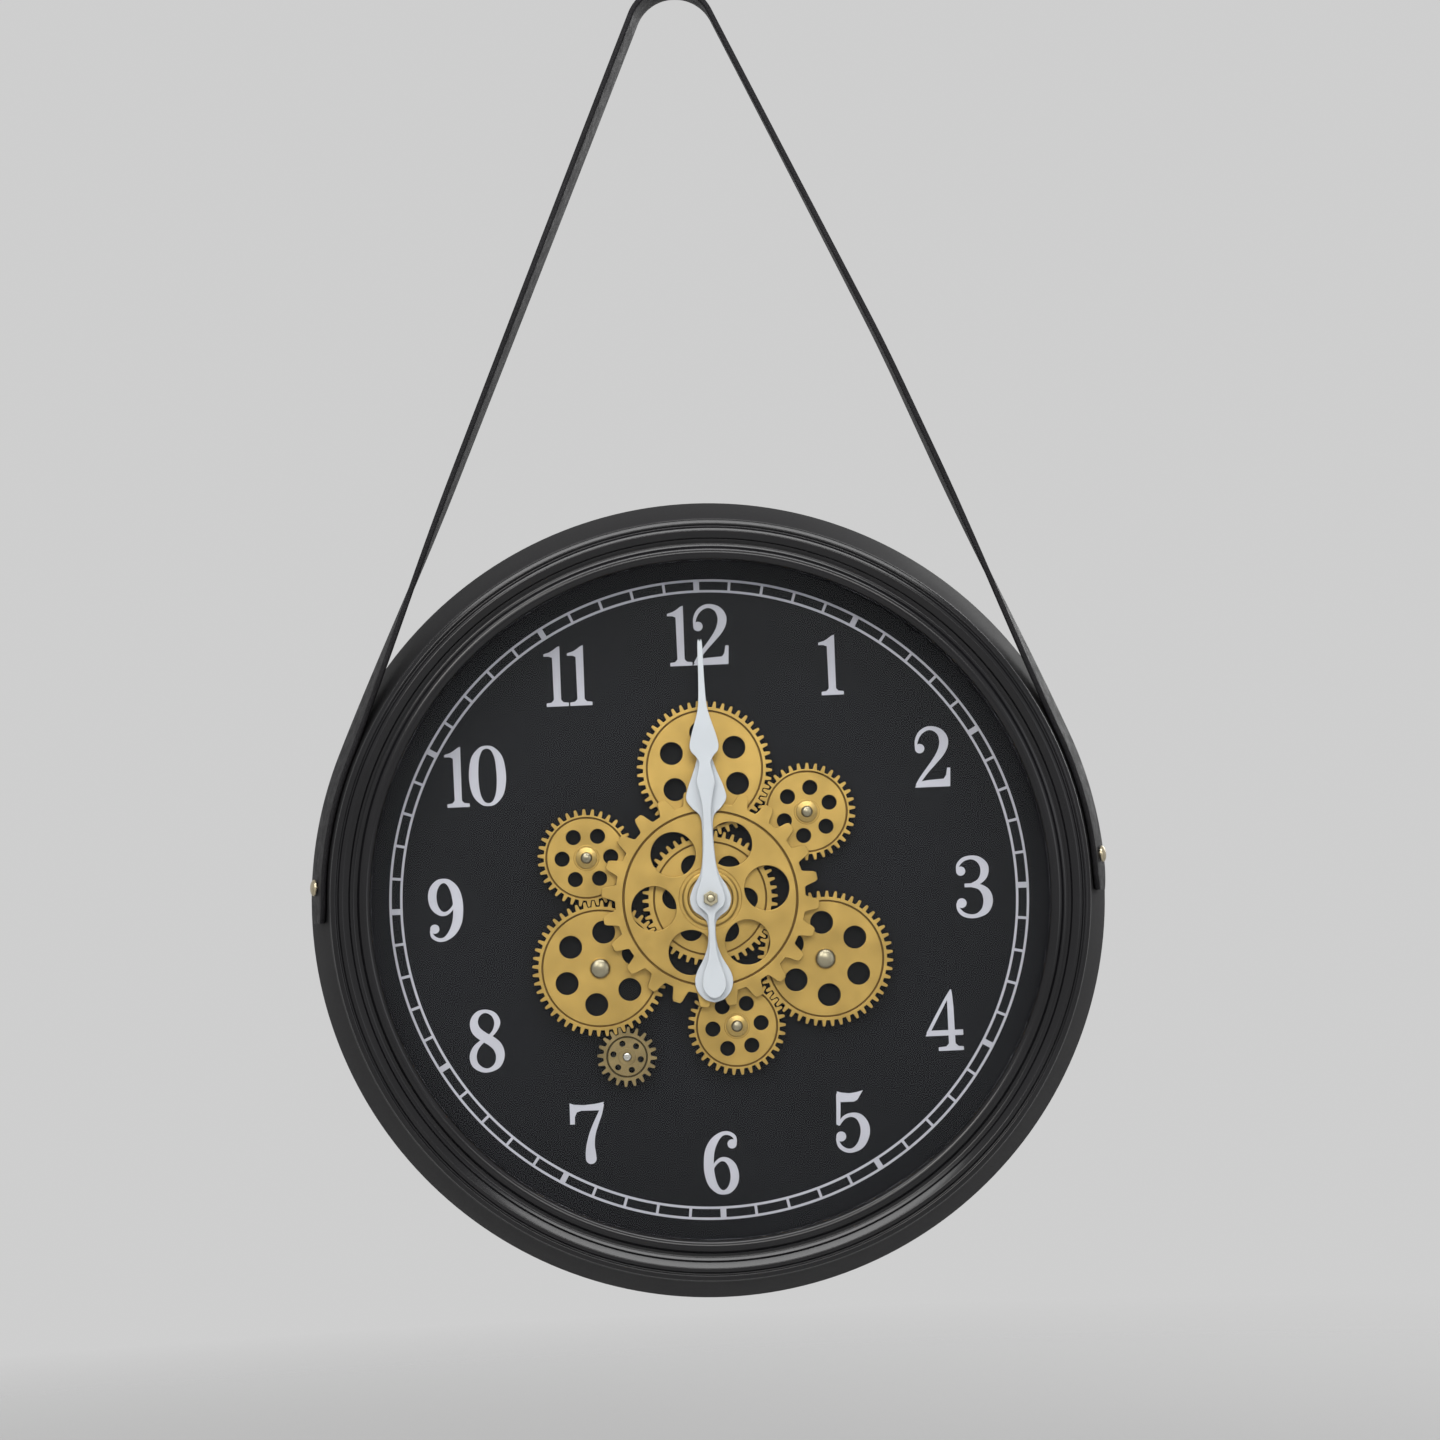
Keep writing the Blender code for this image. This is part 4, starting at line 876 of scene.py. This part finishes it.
# a figure is 100 high; strokes are (x, y, half width), plates are outlines, balls are (x, y, radius)
figures = {
    "0": dict(wide=60,
              strokes=[[(0, 97.6, 2.4), (-10, 94, 3.6), (-19, 80, 6.4), (-22.4, 60, 7.6), (-22.6, 40, 7.6),
                        (-19, 20, 6.4), (-10, 6, 3.6), (0, 2.4, 2.4), (10, 6, 3.6), (19, 20, 6.4),
                        (22.6, 40, 7.6), (22.4, 60, 7.6), (19, 80, 6.4), (10, 94, 3.6), (0, 97.6, 2.4)]]),
    "1": dict(wide=38, plates=[[(-5.8, 4), (6, 4), (6.6, 100), (2, 98.4), (-4, 94), (-11, 90), (-20, 87.6),
                                (-20.4, 83.6), (-12, 83.4), (-6.2, 81)],
                               [(-18, 0), (18.6, 0), (18.6, 5.6), (10, 6.6), (6, 11), (-6, 11), (-10, 6.6),
                                (-18, 5.6)]]),
    "2": dict(wide=60, balls=[(-19.6, 64.5, 7.8)],
              strokes=[[(-25.6, 66, 1.8), (-24.4, 78, 2.6), (-18, 90, 3.2), (-7, 97, 3.2), (4, 97, 3.6),
                        (14.5, 91, 5.4), (20.4, 80, 7.2), (20, 68, 7.2), (14, 55, 6), (3, 41, 4.4),
                        (-10, 26, 3.4), (-21, 12, 3), (-27, 3, 2.2)]],
              plates=[[(-29.6, 0), (28.4, 0), (29.8, 31), (24.6, 31), (22.4, 19), (18, 13), (-8, 11.6),
                       (-19, 10), (-29.6, 1.4)]]),
    "3": dict(wide=60, balls=[(-19.4, 77, 7.6), (-20, 24, 8.0)],
              strokes=[[(-25.2, 79, 1.8), (-23, 88, 2.8), (-14, 96.4, 3.2), (-1, 99, 3.2), (11, 95, 4.8),
                        (19.6, 84, 6.8), (19, 70, 6.4), (11, 59, 4.4), (-2, 53.4, 3.0)],
                       [(-2, 52.6, 3.0), (11, 49.6, 4.6), (21, 40, 7.2), (24, 26, 7.8), (19, 11.6, 6.6),
                        (7, 3.2, 3.8), (-6, 1.6, 3.2), (-18, 5.6, 3.4), (-25.4, 14, 2.8), (-27.4, 24, 1.6)]],
              plates=[[(-14, 50), (0, 49.8), (0, 56.2), (-14, 56)]]),
    "4": dict(wide=62, strokes=[[(12.6, 98.4, 1.4), (4, 84, 2.4), (-14, 53, 2.7), (-27.6, 29, 2.7)]],
              plates=[[(6.6, 4), (17.6, 4), (16.8, 70), (15.6, 90), (14.2, 100.6), (12, 100.6), (6.6, 86)],
                      [(-31.4, 25), (31, 25), (31, 34), (-27, 34)],
                      [(-10.6, 0), (30.8, 0), (30.8, 6), (22.4, 7), (18.4, 11), (6, 11), (2, 7),
                       (-10.6, 6)]]),
    "5": dict(wide=57, balls=[(-18.6, 26.5, 8.2)],
              strokes=[[(-20.4, 97, 3.6), (-21.2, 72, 3.4), (-22.6, 46, 3.2)],
                       [(-22.4, 45, 2.0), (-13, 57, 2.8), (0, 61.4, 3.4), (12.6, 57, 5.6), (20.6, 44, 7.4),
                        (20.8, 28, 7.6), (13.4, 12, 6.2), (1, 3.4, 3.8), (-11, 3.4, 3.3), (-21.4, 11, 3.2),
                        (-26, 24, 1.8)]],
              plates=[[(-22.6, 101), (-15, 98.6), (-2, 97), (10, 98.4), (20.4, 101), (10.6, 85.6), (5, 83),
                       (-14, 83), (-22, 84)]]),
    "6": dict(wide=58, balls=[(19.2, 81, 7.6)],
              strokes=[[(25.6, 83, 1.8), (23, 93, 2.8), (13, 99, 3.0), (1.6, 97.4, 3.6), (-10, 87, 6.2),
                        (-18, 71, 7.8), (-20.6, 52, 8.2), (-20, 34, 8.2), (-15.6, 17, 7.2), (-7, 5.4, 4.8),
                        (2, 2, 3.6), (11.4, 5.4, 5.0), (19, 16, 6.6), (21.4, 30, 7.0), (18, 45, 6.2),
                        (9, 55, 4.2), (-1, 56, 3.0), (-10, 49, 2.4), (-15, 40, 1.6)]]),
    "7": dict(wide=58, balls=[(4.6, 8.6, 8.8)],
              strokes=[[(27.4, 97.6, 1.8), (22, 82, 3.4), (14.4, 65, 4.3), (8, 48, 5.2), (4.6, 31, 6.8),
                        (4.2, 18, 8.4), (4.6, 9, 8.8)]],
              plates=[[(-27.4, 101), (-21, 98.4), (-4, 97), (14, 98.2), (29.4, 101), (25, 90), (20, 87.4),
                       (-8, 88), (-16, 85.6), (-19.6, 78), (-20, 66), (-27.8, 66)]]),
    "8": dict(wide=60,
              strokes=[[(0, 98.6, 2.8), (-12.4, 94.4, 4.4), (-19.4, 82, 6.4), (-16.6, 68, 7.6),
                        (-5.6, 57.6, 7.8), (8, 49, 8.0), (18, 39, 8.0), (21.8, 25, 7.2), (17, 10, 5.6),
                        (4, 1.8, 3.4), (-9, 2.8, 4.0), (-20, 11.6, 5.4), (-23, 25, 5.8), (-18.4, 38, 4.8),
                        (-8.6, 48, 3.4), (4, 56, 2.8), (14, 66, 3.6), (19, 80, 5.0), (13, 93, 4.0),
                        (0, 98.6, 2.8)]]),
}
figures["9"] = dict(wide=58, balls=[(-x, 100 - y, r) for x, y, r in figures["6"]["balls"]],
                    strokes=[[(-x, 100 - y, w) for x, y, w in stroke] for stroke in figures["6"]["strokes"]])
numerals = dict(radius=132.0, height=30.2, pairGap=1.0, back=21.97, front=22.12, strokeSteps=7, ballSides=28)


def figureFaces(name):
    # every stroke as a row of quads, every ball and plate as a polygon, then all of them merged flat
    shape = figures[name]
    polygons = [list(outline) for outline in shape.get("plates", [])]
    polygons += [ring(r, numerals["ballSides"], (x, y)) for x, y, r in shape.get("balls", [])]
    steps = numerals["strokeSteps"]
    for stroke in shape.get("strokes", []):
        run = smoothRun(stroke, steps)
        if stroke[0] == stroke[-1]:
            wrapped = smoothRun([stroke[-2], *stroke, stroke[1]], steps)
            run = wrapped[steps:-steps]
        sides = []
        for i, (x, y, half) in enumerate(run):
            before = Vector(run[max(0, i - 1)][:2])
            after = Vector(run[min(len(run) - 1, i + 1)][:2])
            if stroke[0] == stroke[-1] and i in (0, len(run) - 1):
                before, after = Vector(run[-2][:2]), Vector(run[1][:2])
            along = (after - before).normalized()
            across = Vector((-along.y, along.x)) * half
            sides.append((Vector((x, y)) + across, Vector((x, y)) - across))
        for (a, b), (c, d) in zip(sides, sides[1:]):
            polygons += [[a, b, c], [b, d, c]]
    points, loops = [], []
    for polygon in polygons:
        corners = [Vector(p) for p in polygon]
        area = sum(p.cross(q) for p, q in zip(corners, corners[1:] + corners[:1]))
        if abs(area) < 1e-6:
            continue
        if area < 0:
            corners.reverse()
        loops.append(list(range(len(points), len(points) + len(corners))))
        points += corners
    merged = delaunay_2d_cdt(points, [], loops, 0, 1e-4)
    return merged[0], [face for face, source in zip(merged[2], merged[5]) if source]


def makeNumerals():
    size = numerals["height"] / 100
    bm = bmesh.new()
    shapes = {name: figureFaces(name) for name in figures}
    for hour in range(1, 13):
        text = str(hour)
        total = sum(figures[c]["wide"] for c in text) + numerals["pairGap"] * (len(text) - 1)
        x, z = polar(numerals["radius"], 90 - 30 * hour)
        pen = x - total * size / 2
        for c in text:
            middle = pen + figures[c]["wide"] * size / 2
            pen += (figures[c]["wide"] + numerals["pairGap"]) * size
            points, triangles = shapes[c]
            verts = [bm.verts.new((middle + p.x * size, -numerals["back"], z + (p.y - 50) * size))
                     for p in points]
            for triangle in triangles:
                bm.faces.new([verts[i] for i in triangle])
    loose = [v for v in bm.verts if not v.link_faces]
    bmesh.ops.delete(bm, geom=loose, context="VERTS")
    bmesh.ops.dissolve_limit(bm, angle_limit=0.01, verts=bm.verts, edges=bm.edges)
    raised = bmesh.ops.extrude_face_region(bm, geom=bm.faces[:])["geom"]
    top = [v for v in raised if isinstance(v, bmesh.types.BMVert)]
    bmesh.ops.translate(bm, vec=(0, numerals["back"] - numerals["front"], 0), verts=top)
    fit(newPiece("dialNumerals", bm, dialPrint), "clock_case", "white_hand")


makeTrack()
makeNumerals()
print("dial printed")


# leather strap and its screws


strap = dict(width=25.0, thickness=2.8, depth=35.0, drop=453.5, hookRadius=20.0, screwAngle=4.0,
             endAngle=-1.2, endRun=12.0, endNarrow=4.0, untwist=150.0, twist=6.0, gap=0.3, edge=1.0,
             legSteps=110, arcSteps=30, wrapSteps=44, kink=4.2, kinkAt=0.47)
slope = atan2(drum["radius"] - drum["frontRadius"], drum["frontDepth"] - drum["rimDepth"])


def strapLine():
    # the right half from the hook to its end: x, z, outward angle, tilt, share of the leg
    half = strap["thickness"] / 2
    wrap = wallRadius(strap["depth"]) + (strap["gap"] + half) / cos(slope) + strap["gap"]
    bend = strap["hookRadius"] + half
    bendZ = strap["drop"] - strap["hookRadius"]
    leave = degrees(asin((wrap - bend) / bendZ))
    line = []
    for i in range(strap["arcSteps"] + 1):
        angle = 90 - (90 - leave) * i / strap["arcSteps"]
        x, z = polar(bend, angle)
        line.append((x, bendZ + z, angle, 0.0, 0.0))
    start, end = Vector(line[-1][:2]), Vector(polar(wrap, leave))
    length = (end - start).length
    for i in range(1, strap["legSteps"] + 1):
        share = i / strap["legSteps"]
        ease = max(0.0, 1 - length * (1 - share) / strap["untwist"])
        p = start.lerp(end, share)
        line.append((p.x, p.y, leave, slope * ease * ease * (3 - 2 * ease), share))
    for i in range(1, strap["wrapSteps"] + 1):
        angle = leave + (strap["endAngle"] - leave) * i / strap["wrapSteps"]
        line.append((*polar(wrap, angle), angle, slope, 1.0))
    return line, wrap


def strapSection(halfWidth):
    # flat band with rounded edges, as points across and through
    half, edge = strap["thickness"] / 2, strap["edge"]
    points = []
    for sideA, sideT in ((1, 1), (-1, 1), (-1, -1), (1, -1)):
        arc = []
        for k in range(5):
            a = radians(22.5 * k)
            arc.append((sideA * (halfWidth - edge + edge * cos(a)), sideT * (half - edge + edge * sin(a))))
        points += arc if sideA * sideT > 0 else arc[::-1]
        if sideA * sideT > 0:
            points += [(sideA * (halfWidth - edge) * s, sideT * half) for s in (0.6, 0.2, -0.2, -0.6)]
    return points


def makeStrap():
    right, wrap = strapLine()
    left = [(-x, z, 180 - angle, tilt, share) for x, z, angle, tilt, share in reversed(right[1:])]
    line = left + right
    bm = bmesh.new()
    rows = []
    for x, z, angle, tilt, share in line:
        outward = Vector((cos(radians(angle)), 0, sin(radians(angle))))
        yaw = radians(strap["twist"]) * (1 - share * share * (3 - 2 * share))
        forward = Vector((-sin(yaw), -cos(yaw), 0))
        across = forward * cos(tilt) - outward * sin(tilt)
        along = Vector((outward.z, 0, -outward.x))
        through = along.cross(across).normalized()
        narrow = 0.0
        if share == 1:
            fromEnd = radians(abs((angle if x > 0 else 180 - angle) - strap["endAngle"])) * wrap
            narrow = strap["endNarrow"] * max(0.0, 1 - fromEnd / strap["endRun"]) ** 2
        middle = Vector((x, -strap["depth"], z))
        if x > 0 and 0 < share < 1:
            # the right leg has taken a soft fold about half way down
            rise = share / strap["kinkAt"] if share < strap["kinkAt"] else (1 - share) / (1 - strap["kinkAt"])
            middle += outward * strap["kink"] * (rise - 0.5 * max(0.0, rise - 0.9) ** 2 / 0.1)
        section = strapSection(strap["width"] / 2 - narrow)
        rows.append([bm.verts.new(middle + across * a + through * b) for a, b in section])
    count = len(rows[0])
    for first, second in zip(rows, rows[1:]):
        for i in range(count):
            j = (i + 1) % count
            bm.faces.new((first[i], first[j], second[j], second[i]))
    bm.faces.new(rows[0])
    bm.faces.new(rows[-1])
    piece = newPiece("leatherStrap", bm, finishes["dark_leather"], sharp=60.0)
    fit(piece, "clock_case", "dark_leather", "hanging_strap")


strapScrew = dict(shank=2.0, back=-7.2, seat=4.0, headRadius=4.1, headHeight=2.4, foot=0.2)


def makeStrapScrews():
    size = strapScrew
    for side, angle in (("right", strap["screwAngle"]), ("left", 180 - strap["screwAngle"])):
        x, z = polar(1, angle)
        flat = Vector((x, 0, z))
        outward = flat * cos(slope) + Vector((0, -sin(slope), 0))
        foot = flat * wallRadius(strap["depth"]) + Vector((0, -strap["depth"], 0))
        turn = Matrix.Translation(foot) @ Vector((0, -1, 0)).rotation_difference(outward).to_matrix().to_4x4()
        profile = [(0.0, size["back"]), (size["shank"], size["back"]), (size["shank"], size["seat"]),
                   (size["headRadius"] - size["foot"], size["seat"]),
                   (size["headRadius"], size["seat"] + size["foot"])]
        profile += domeProfile(size["headRadius"], size["headHeight"], size["seat"])
        piece = newPiece(f"strapScrew_{side}", lathe(profile, 40, turn=turn), finishes["brass"])
        fit(piece, "clock_case", "brass", f"strap_screw_{side}")


makeStrap()
makeStrapScrews()
print("strap hung")


# back: cover, its screws, housings, cells and setting knob


works = dict(movement=(56.0, 56.0), movementCorner=4.0, bay=(52.0, 15.0), bayPlace=(0.0, -18.5), stemHole=2.0,
             box=(58.0, 34.0), boxCorner=2.5, boxBay=(52.0, 30.0), boxPlace=(40.0, -82.0), bayCorner=1.2,
             back=3.7, floor=18.3, front=19.7, bevel=0.5)
backCover = dict(radius=197.1, thickness=3.0, bossCircle=176.0, bossAngles=(45, 135, 225, 315), headHole=3.5,
                 headFloor=2.2, shank=1.8, bossRadius=5.0, bossFront=16.7, bossGap=0.05, clearance=2.0,
                 corner=2.5, bevel=0.45)
bossSpots = [polar(backCover["bossCircle"], angle) for angle in backCover["bossAngles"]]


def roundedRectangle(size, corner, centre=(0.0, 0.0), steps=6):
    points = []
    for quarter, (sideX, sideZ) in enumerate(((1, 1), (-1, 1), (-1, -1), (1, -1))):
        x = centre[0] + sideX * (size[0] / 2 - corner)
        z = centre[1] + sideZ * (size[1] / 2 - corner)
        arc = (polar(corner, 90 * (quarter + k / steps)) for k in range(steps + 1))
        points += [(x + a, z + b) for a, b in arc]
    return points


def makeCover():
    size = backCover
    windows = [[side + 2 * size["clearance"] for side in works[name]] for name in ("movement", "box")]
    loops = [ring(size["radius"], 224), roundedRectangle(windows[0], size["corner"]),
             roundedRectangle(windows[1], size["corner"], works["boxPlace"])]
    loops += [ring(size["headHole"], 32, spot) for spot in bossSpots]
    bm = plate(loops, 0.0, size["thickness"])
    inside, start = size["headHole"] - size["bossGap"], size["thickness"] + size["bossGap"]
    boss = ((size["shank"], size["headFloor"]), (inside, size["headFloor"]), (inside, start),
            (size["bossRadius"], start), (size["bossRadius"], size["bossFront"]),
            (size["shank"], size["bossFront"]))
    for x, z in bossSpots:
        lathe(boss, 32, bm, Matrix.Translation((x, 0, z)))
    piece = newPiece("backCover", bm, finishes["black_plastic"], bevel=size["bevel"])
    fit(piece, "clock_case", "black_plastic", "back_cover")


def makeHousings():
    size = works
    knobHole = [ring(size["stemHole"], 24, knob["place"])]
    corner = size["bayCorner"]
    for name, node, outline, bay, holes in (
            ("movementHousing", "movement_housing",
             roundedRectangle(size["movement"], size["movementCorner"]),
             roundedRectangle(size["bay"], corner, size["bayPlace"]), knobHole),
            ("batteryBox", "battery_box",
             roundedRectangle(size["box"], size["boxCorner"], size["boxPlace"]),
             roundedRectangle(size["boxBay"], corner, size["boxPlace"]), [])):
        bm = plate([outline, bay, *holes], size["back"], size["floor"] - 0.02)
        plate([outline], size["floor"], size["front"], bm)
        piece = newPiece(name, bm, finishes["black_plastic"], bevel=size["bevel"])
        fit(piece, "clock_case", "black_plastic", node)


backScrew = dict(top=0.2, headRadius=3.0, recess=1.0, arm=0.5, reach=1.9, taper=0.7, shank=1.5, length=18.6)


def makeBackScrews():
    size = backScrew
    arm, reach = size["arm"], size["reach"]
    quarter = (Vector((reach, -arm)), Vector((reach, arm)), Vector((arm, arm)))
    cross = [tuple(Matrix.Rotation(turns * pi / 2, 2) @ p) for turns in range(4) for p in quarter]
    bm = plate([ring(size["headRadius"], 40), cross], 0.0, size["recess"])
    floor = size["recess"] + 0.02
    lathe(((0.0, floor), (size["headRadius"], floor), (size["shank"], floor + size["taper"]),
           (size["shank"], size["length"]), (0.0, size["length"])), 40, bm)
    spots = [(x, size["top"], z, 20.0 + 31.0 * i) for i, (x, z) in enumerate(bossSpots)]
    piece = stampPieces("backScrews", bm, spots, finishes["nickel"])
    fit(piece, "clock_case", "nickel", *[f"back_screw_{i}" for i in (1, 2, 3, 4)])


cell = dict(radius=7.0, half=24.5, depth=11.0, capRadius=2.75, metalRadius=6.25, spacing=7.3)


def makeCells():
    half, wide, cap = cell["half"], cell["radius"], cell["capRadius"]
    profile = ((0.0, -half), (5.2, -half), (5.5, 0.2 - half), (6.0, 0.2 - half), (6.2, 0.05 - half),
               (wide - 0.3, 0.1 - half), (wide, 0.4 - half), (wide, half - 1.6), (wide - 0.25, half - 1.25),
               (6.3, half - 1.2), (6.1, half - 1.35), (cap + 0.15, half - 1.35), (cap, half - 1.2),
               (cap, half - 0.25), (cap - 0.25, half), (0.0, half))
    bm = lathe(profile, 48, turn=Matrix.Rotation(radians(90), 4, "Z"))
    metal = bm.faces.layers.float.new("metalEnd")
    for face in bm.faces:
        face[metal] = float(face.calc_center_median().yz.length < cell["metalRadius"])
    x, z = works["boxPlace"]
    spots = [(works["bayPlace"][0], cell["depth"], works["bayPlace"][1], 0.0)]
    spots += [(x, cell["depth"], z + side * cell["spacing"], 0.0) for side in (1, -1)]
    piece = stampPieces("dryCells", bm, spots, finishes["cell_wrap"])
    fit(piece, "clock_case", "cell_wrap", "time_cell", "wheel_cell_1", "wheel_cell_2")


knob = dict(place=(12.0, 12.0), radius=7.5, lobes=20, lobe=0.45, back=0.8, front=3.4, dish=5.2, dishDepth=0.5,
            stem=1.7, stemFront=6.8, steps=320)


def knobTree(name):
    tree, given = startTree(name, Radius=float, Lobes=int, Lobe=float, Back=float, Front=float, Dish=float,
                            DishDepth=float, Stem=float, StemFront=float, Place=Vector,
                            Finish=bpy.types.Material)
    index = addNode(tree, "GeometryNodeInputIndex").outputs[0]
    angle = calc(tree, "MULTIPLY", index, 2 * pi / knob["steps"])
    wave = calc(tree, "COSINE", calc(tree, "MULTIPLY", angle, given["Lobes"]))
    swing = calc(tree, "MULTIPLY", given["Lobe"], 0.5)
    radius = calc(tree, "MULTIPLY_ADD", wave, swing, calc(tree, "SUBTRACT", given["Radius"], swing))
    outline = shapedCircle(tree, knob["steps"], given["Radius"], radius, angle)
    dish, stem = circleCurve(tree, 96, given["Dish"]), circleCurve(tree, 40, given["Stem"])
    back, front, stemFront = given["Back"], given["Front"], given["StemFront"]
    floor = calc(tree, "ADD", back, given["DishDepth"])
    shell = welded(tree, level(tree, back, outline, dish), upright(tree, dish, back, floor),
                   level(tree, floor, dish), upright(tree, outline, back, front),
                   level(tree, front, outline, stem), upright(tree, stem, front, stemFront),
                   level(tree, stemFront, stem))
    return standUp(tree, shell, given)


def makeKnob():
    x, z = knob["place"]
    values = dict(Radius=knob["radius"], Lobes=knob["lobes"], Lobe=knob["lobe"], Back=knob["back"],
                  Front=knob["front"], Dish=knob["dish"], DishDepth=knob["dishDepth"], Stem=knob["stem"],
                  StemFront=knob["stemFront"], Place=wallPoint + Vector((x, 0, z)) * mm,
                  Finish=greyPlastic)
    piece = grow("timeSetKnob", knobTree("ribbed knob"), values, bevel=0.12)
    fit(piece, "time_set_knob", "black_plastic", "time_set_knob")


makeCover()
makeHousings()
makeBackScrews()
makeCells()
makeKnob()
print("back closed")


# small turned parts: posts in the dial, arbors and the motor's shaft


post = dict(bore=1.5, tail=19.4, tailRadius=2.0, flangeRadius=5.0, flangeBack=22.3, flangeFront=25.7,
            radius=2.7, top=30.3)
turnedParts = {   # corners, body, slot, CAD node, place
    "minuteArbor": (((0, 10.5, 0), (2.5, 10.5, 0.2), (2.5, 42.9, 0.2), (1.8, 42.9, 0), (1.8, 47.2, 0.5),
                     (0, 47.4, 0)), "minute_hand", "brass", "minute_arbor", (0.0, 0.0)),
    "hourPipe": (((2.9, 10, 0), (4.6, 10, 0.2), (4.6, 39.7, 0.2), (4.0, 39.7, 0), (4.0, 41.5, 0.2),
                  (2.9, 41.5, 0.2)), "hour_hand", "brass", "hour_pipe", (0.0, 0.0)),
    "centreBushing": (((4.95, 20, 0), (5.7, 20, 0.1), (5.7, 39.3, 0.3), (4.95, 39.3, 0.2)),
                      "clock_case", "brass", "centre_bushing", (0.0, 0.0)),
    "motorShaft": (((0, 16, 0), (2.0, 16, 0.2), (2.0, 30.6, 0.7), (0, 30.6, 0)),
                   "drive_pinion", "nickel", "motor_shaft", places["pinion"]),
}


def makeTurnedParts():
    for name, (corners, body, slot, node, (x, z)) in turnedParts.items():
        bm = lathe(filleted(corners, 4), 48, turn=Matrix.Translation((x, 0, z)))
        fit(newPiece(name, bm, finishes[slot], sharp=35.0), body, slot, node)
    size = post
    profile = filleted((
        (size["bore"], size["tail"], 0), (size["tailRadius"], size["tail"], 0.2),
        (size["tailRadius"], size["flangeBack"], 0), (size["flangeRadius"], size["flangeBack"], 0.3),
        (size["flangeRadius"], size["flangeFront"], 0.3), (size["radius"], size["flangeFront"], 0),
        (size["radius"], size["top"], 0.2), (size["bore"], size["top"], 0)), 3)
    names = [*train["largeAngles"], *train["drivers"]]
    spots = [(places[name][0], 0.0, places[name][1], 0.0) for name in names]
    piece = stampPieces("wheelPosts", lathe(profile, 40), spots, finishes["nickel"])
    fit(piece, "clock_case", "nickel", *[f"{name}_post" for name in names])


makeTurnedParts()
print("small parts turned")


# stage and light


studio = dict(floorZ=-0.86, floorReach=2.0, floorTone=0.75, seen=0.62, around=0.28)


def makeFloor():
    bm = bmesh.new()
    bmesh.ops.create_circle(bm, cap_ends=True, segments=96, radius=studio["floorReach"])
    bmesh.ops.translate(bm, vec=(0, 0, studio["floorZ"]), verts=bm.verts)
    mesh = bpy.data.meshes.new("floor")
    bm.to_mesh(mesh)
    bm.free()
    floor = bpy.data.objects.new("floor", mesh)
    scene.collection.objects.link(floor)
    material, tree, shader, place = startFinish("paleFloor")
    shader.inputs["Base Color"].default_value = (*[studio["floorTone"]] * 3, 1.0)
    shader.inputs["Roughness"].default_value = 0.9
    x, y = addNode(tree, "ShaderNodeSeparateXYZ", {0: place}).outputs[:2]
    away = calc(tree, "SQRT", calc(tree, "ADD", calc(tree, "MULTIPLY", x, x), calc(tree, "MULTIPLY", y, y)))
    fade = between(tree, away, 0.0, 1.0, 0.45 * studio["floorReach"], 0.98 * studio["floorReach"])
    clear = addNode(tree, "ShaderNodeBsdfTransparent")
    showMix(tree, fade, shader, clear)
    mesh.materials.append(material)


def makeWorld():
    world = bpy.data.worlds.new("studio")
    world.use_nodes = True
    scene.world = world
    tree = world.node_tree
    tree.nodes.clear()
    path = addNode(tree, "ShaderNodeLightPath").outputs
    seen = calc(tree, "MAXIMUM", path["Is Camera Ray"],
                calc(tree, "MAXIMUM", path["Is Glossy Ray"], path["Is Transmission Ray"]))
    white = (1.0, 1.0, 1.0, 1.0)
    light = addNode(tree, "ShaderNodeBackground", {"Color": white, "Strength": studio["around"]})
    pale = addNode(tree, "ShaderNodeBackground", {"Color": white, "Strength": studio["seen"]})
    mixed = addNode(tree, "ShaderNodeMixShader", {0: seen, 1: light.outputs[0], 2: pale.outputs[0]})
    addNode(tree, "ShaderNodeOutputWorld", {0: mixed.outputs[0]})


lamps = {   # place, width, height, power, tone
    "key": ((-0.95, -2.1, 0.75), 1.0, 0.8, 15.0, (1.0, 0.98, 0.95)),
    "front": ((0.15, -2.05, 0.24), 1.1, 0.5, 9.0, (1.0, 0.99, 0.97)),
    "fill": ((1.8, -1.9, -0.1), 1.0, 1.4, 5.0, (0.95, 0.97, 1.0)),
    "top": ((0.0, -0.85, 0.9), 2.2, 0.45, 17.0, (1.0, 1.0, 1.0)),
    "back": ((1.2, 1.9, 0.3), 1.2, 1.2, 9.0, (1.0, 1.0, 1.0)),
}


def makeLamps():
    aim = wallPoint - Vector((0, 0.03, 0))
    for name, (at, width, height, power, tone) in lamps.items():
        data = bpy.data.lights.new(name, "AREA")
        data.shape = "ELLIPSE"
        data.size, data.size_y = width, height
        data.energy = power
        data.color = tone
        lamp = bpy.data.objects.new(name, data)
        scene.collection.objects.link(lamp)
        lamp.location = at
        lamp.rotation_euler = (aim - Vector(at)).to_track_quat("-Z", "Y").to_euler()


makeFloor()
makeWorld()
makeLamps()
scene.view_settings.view_transform = "Standard"
print("studio lit")
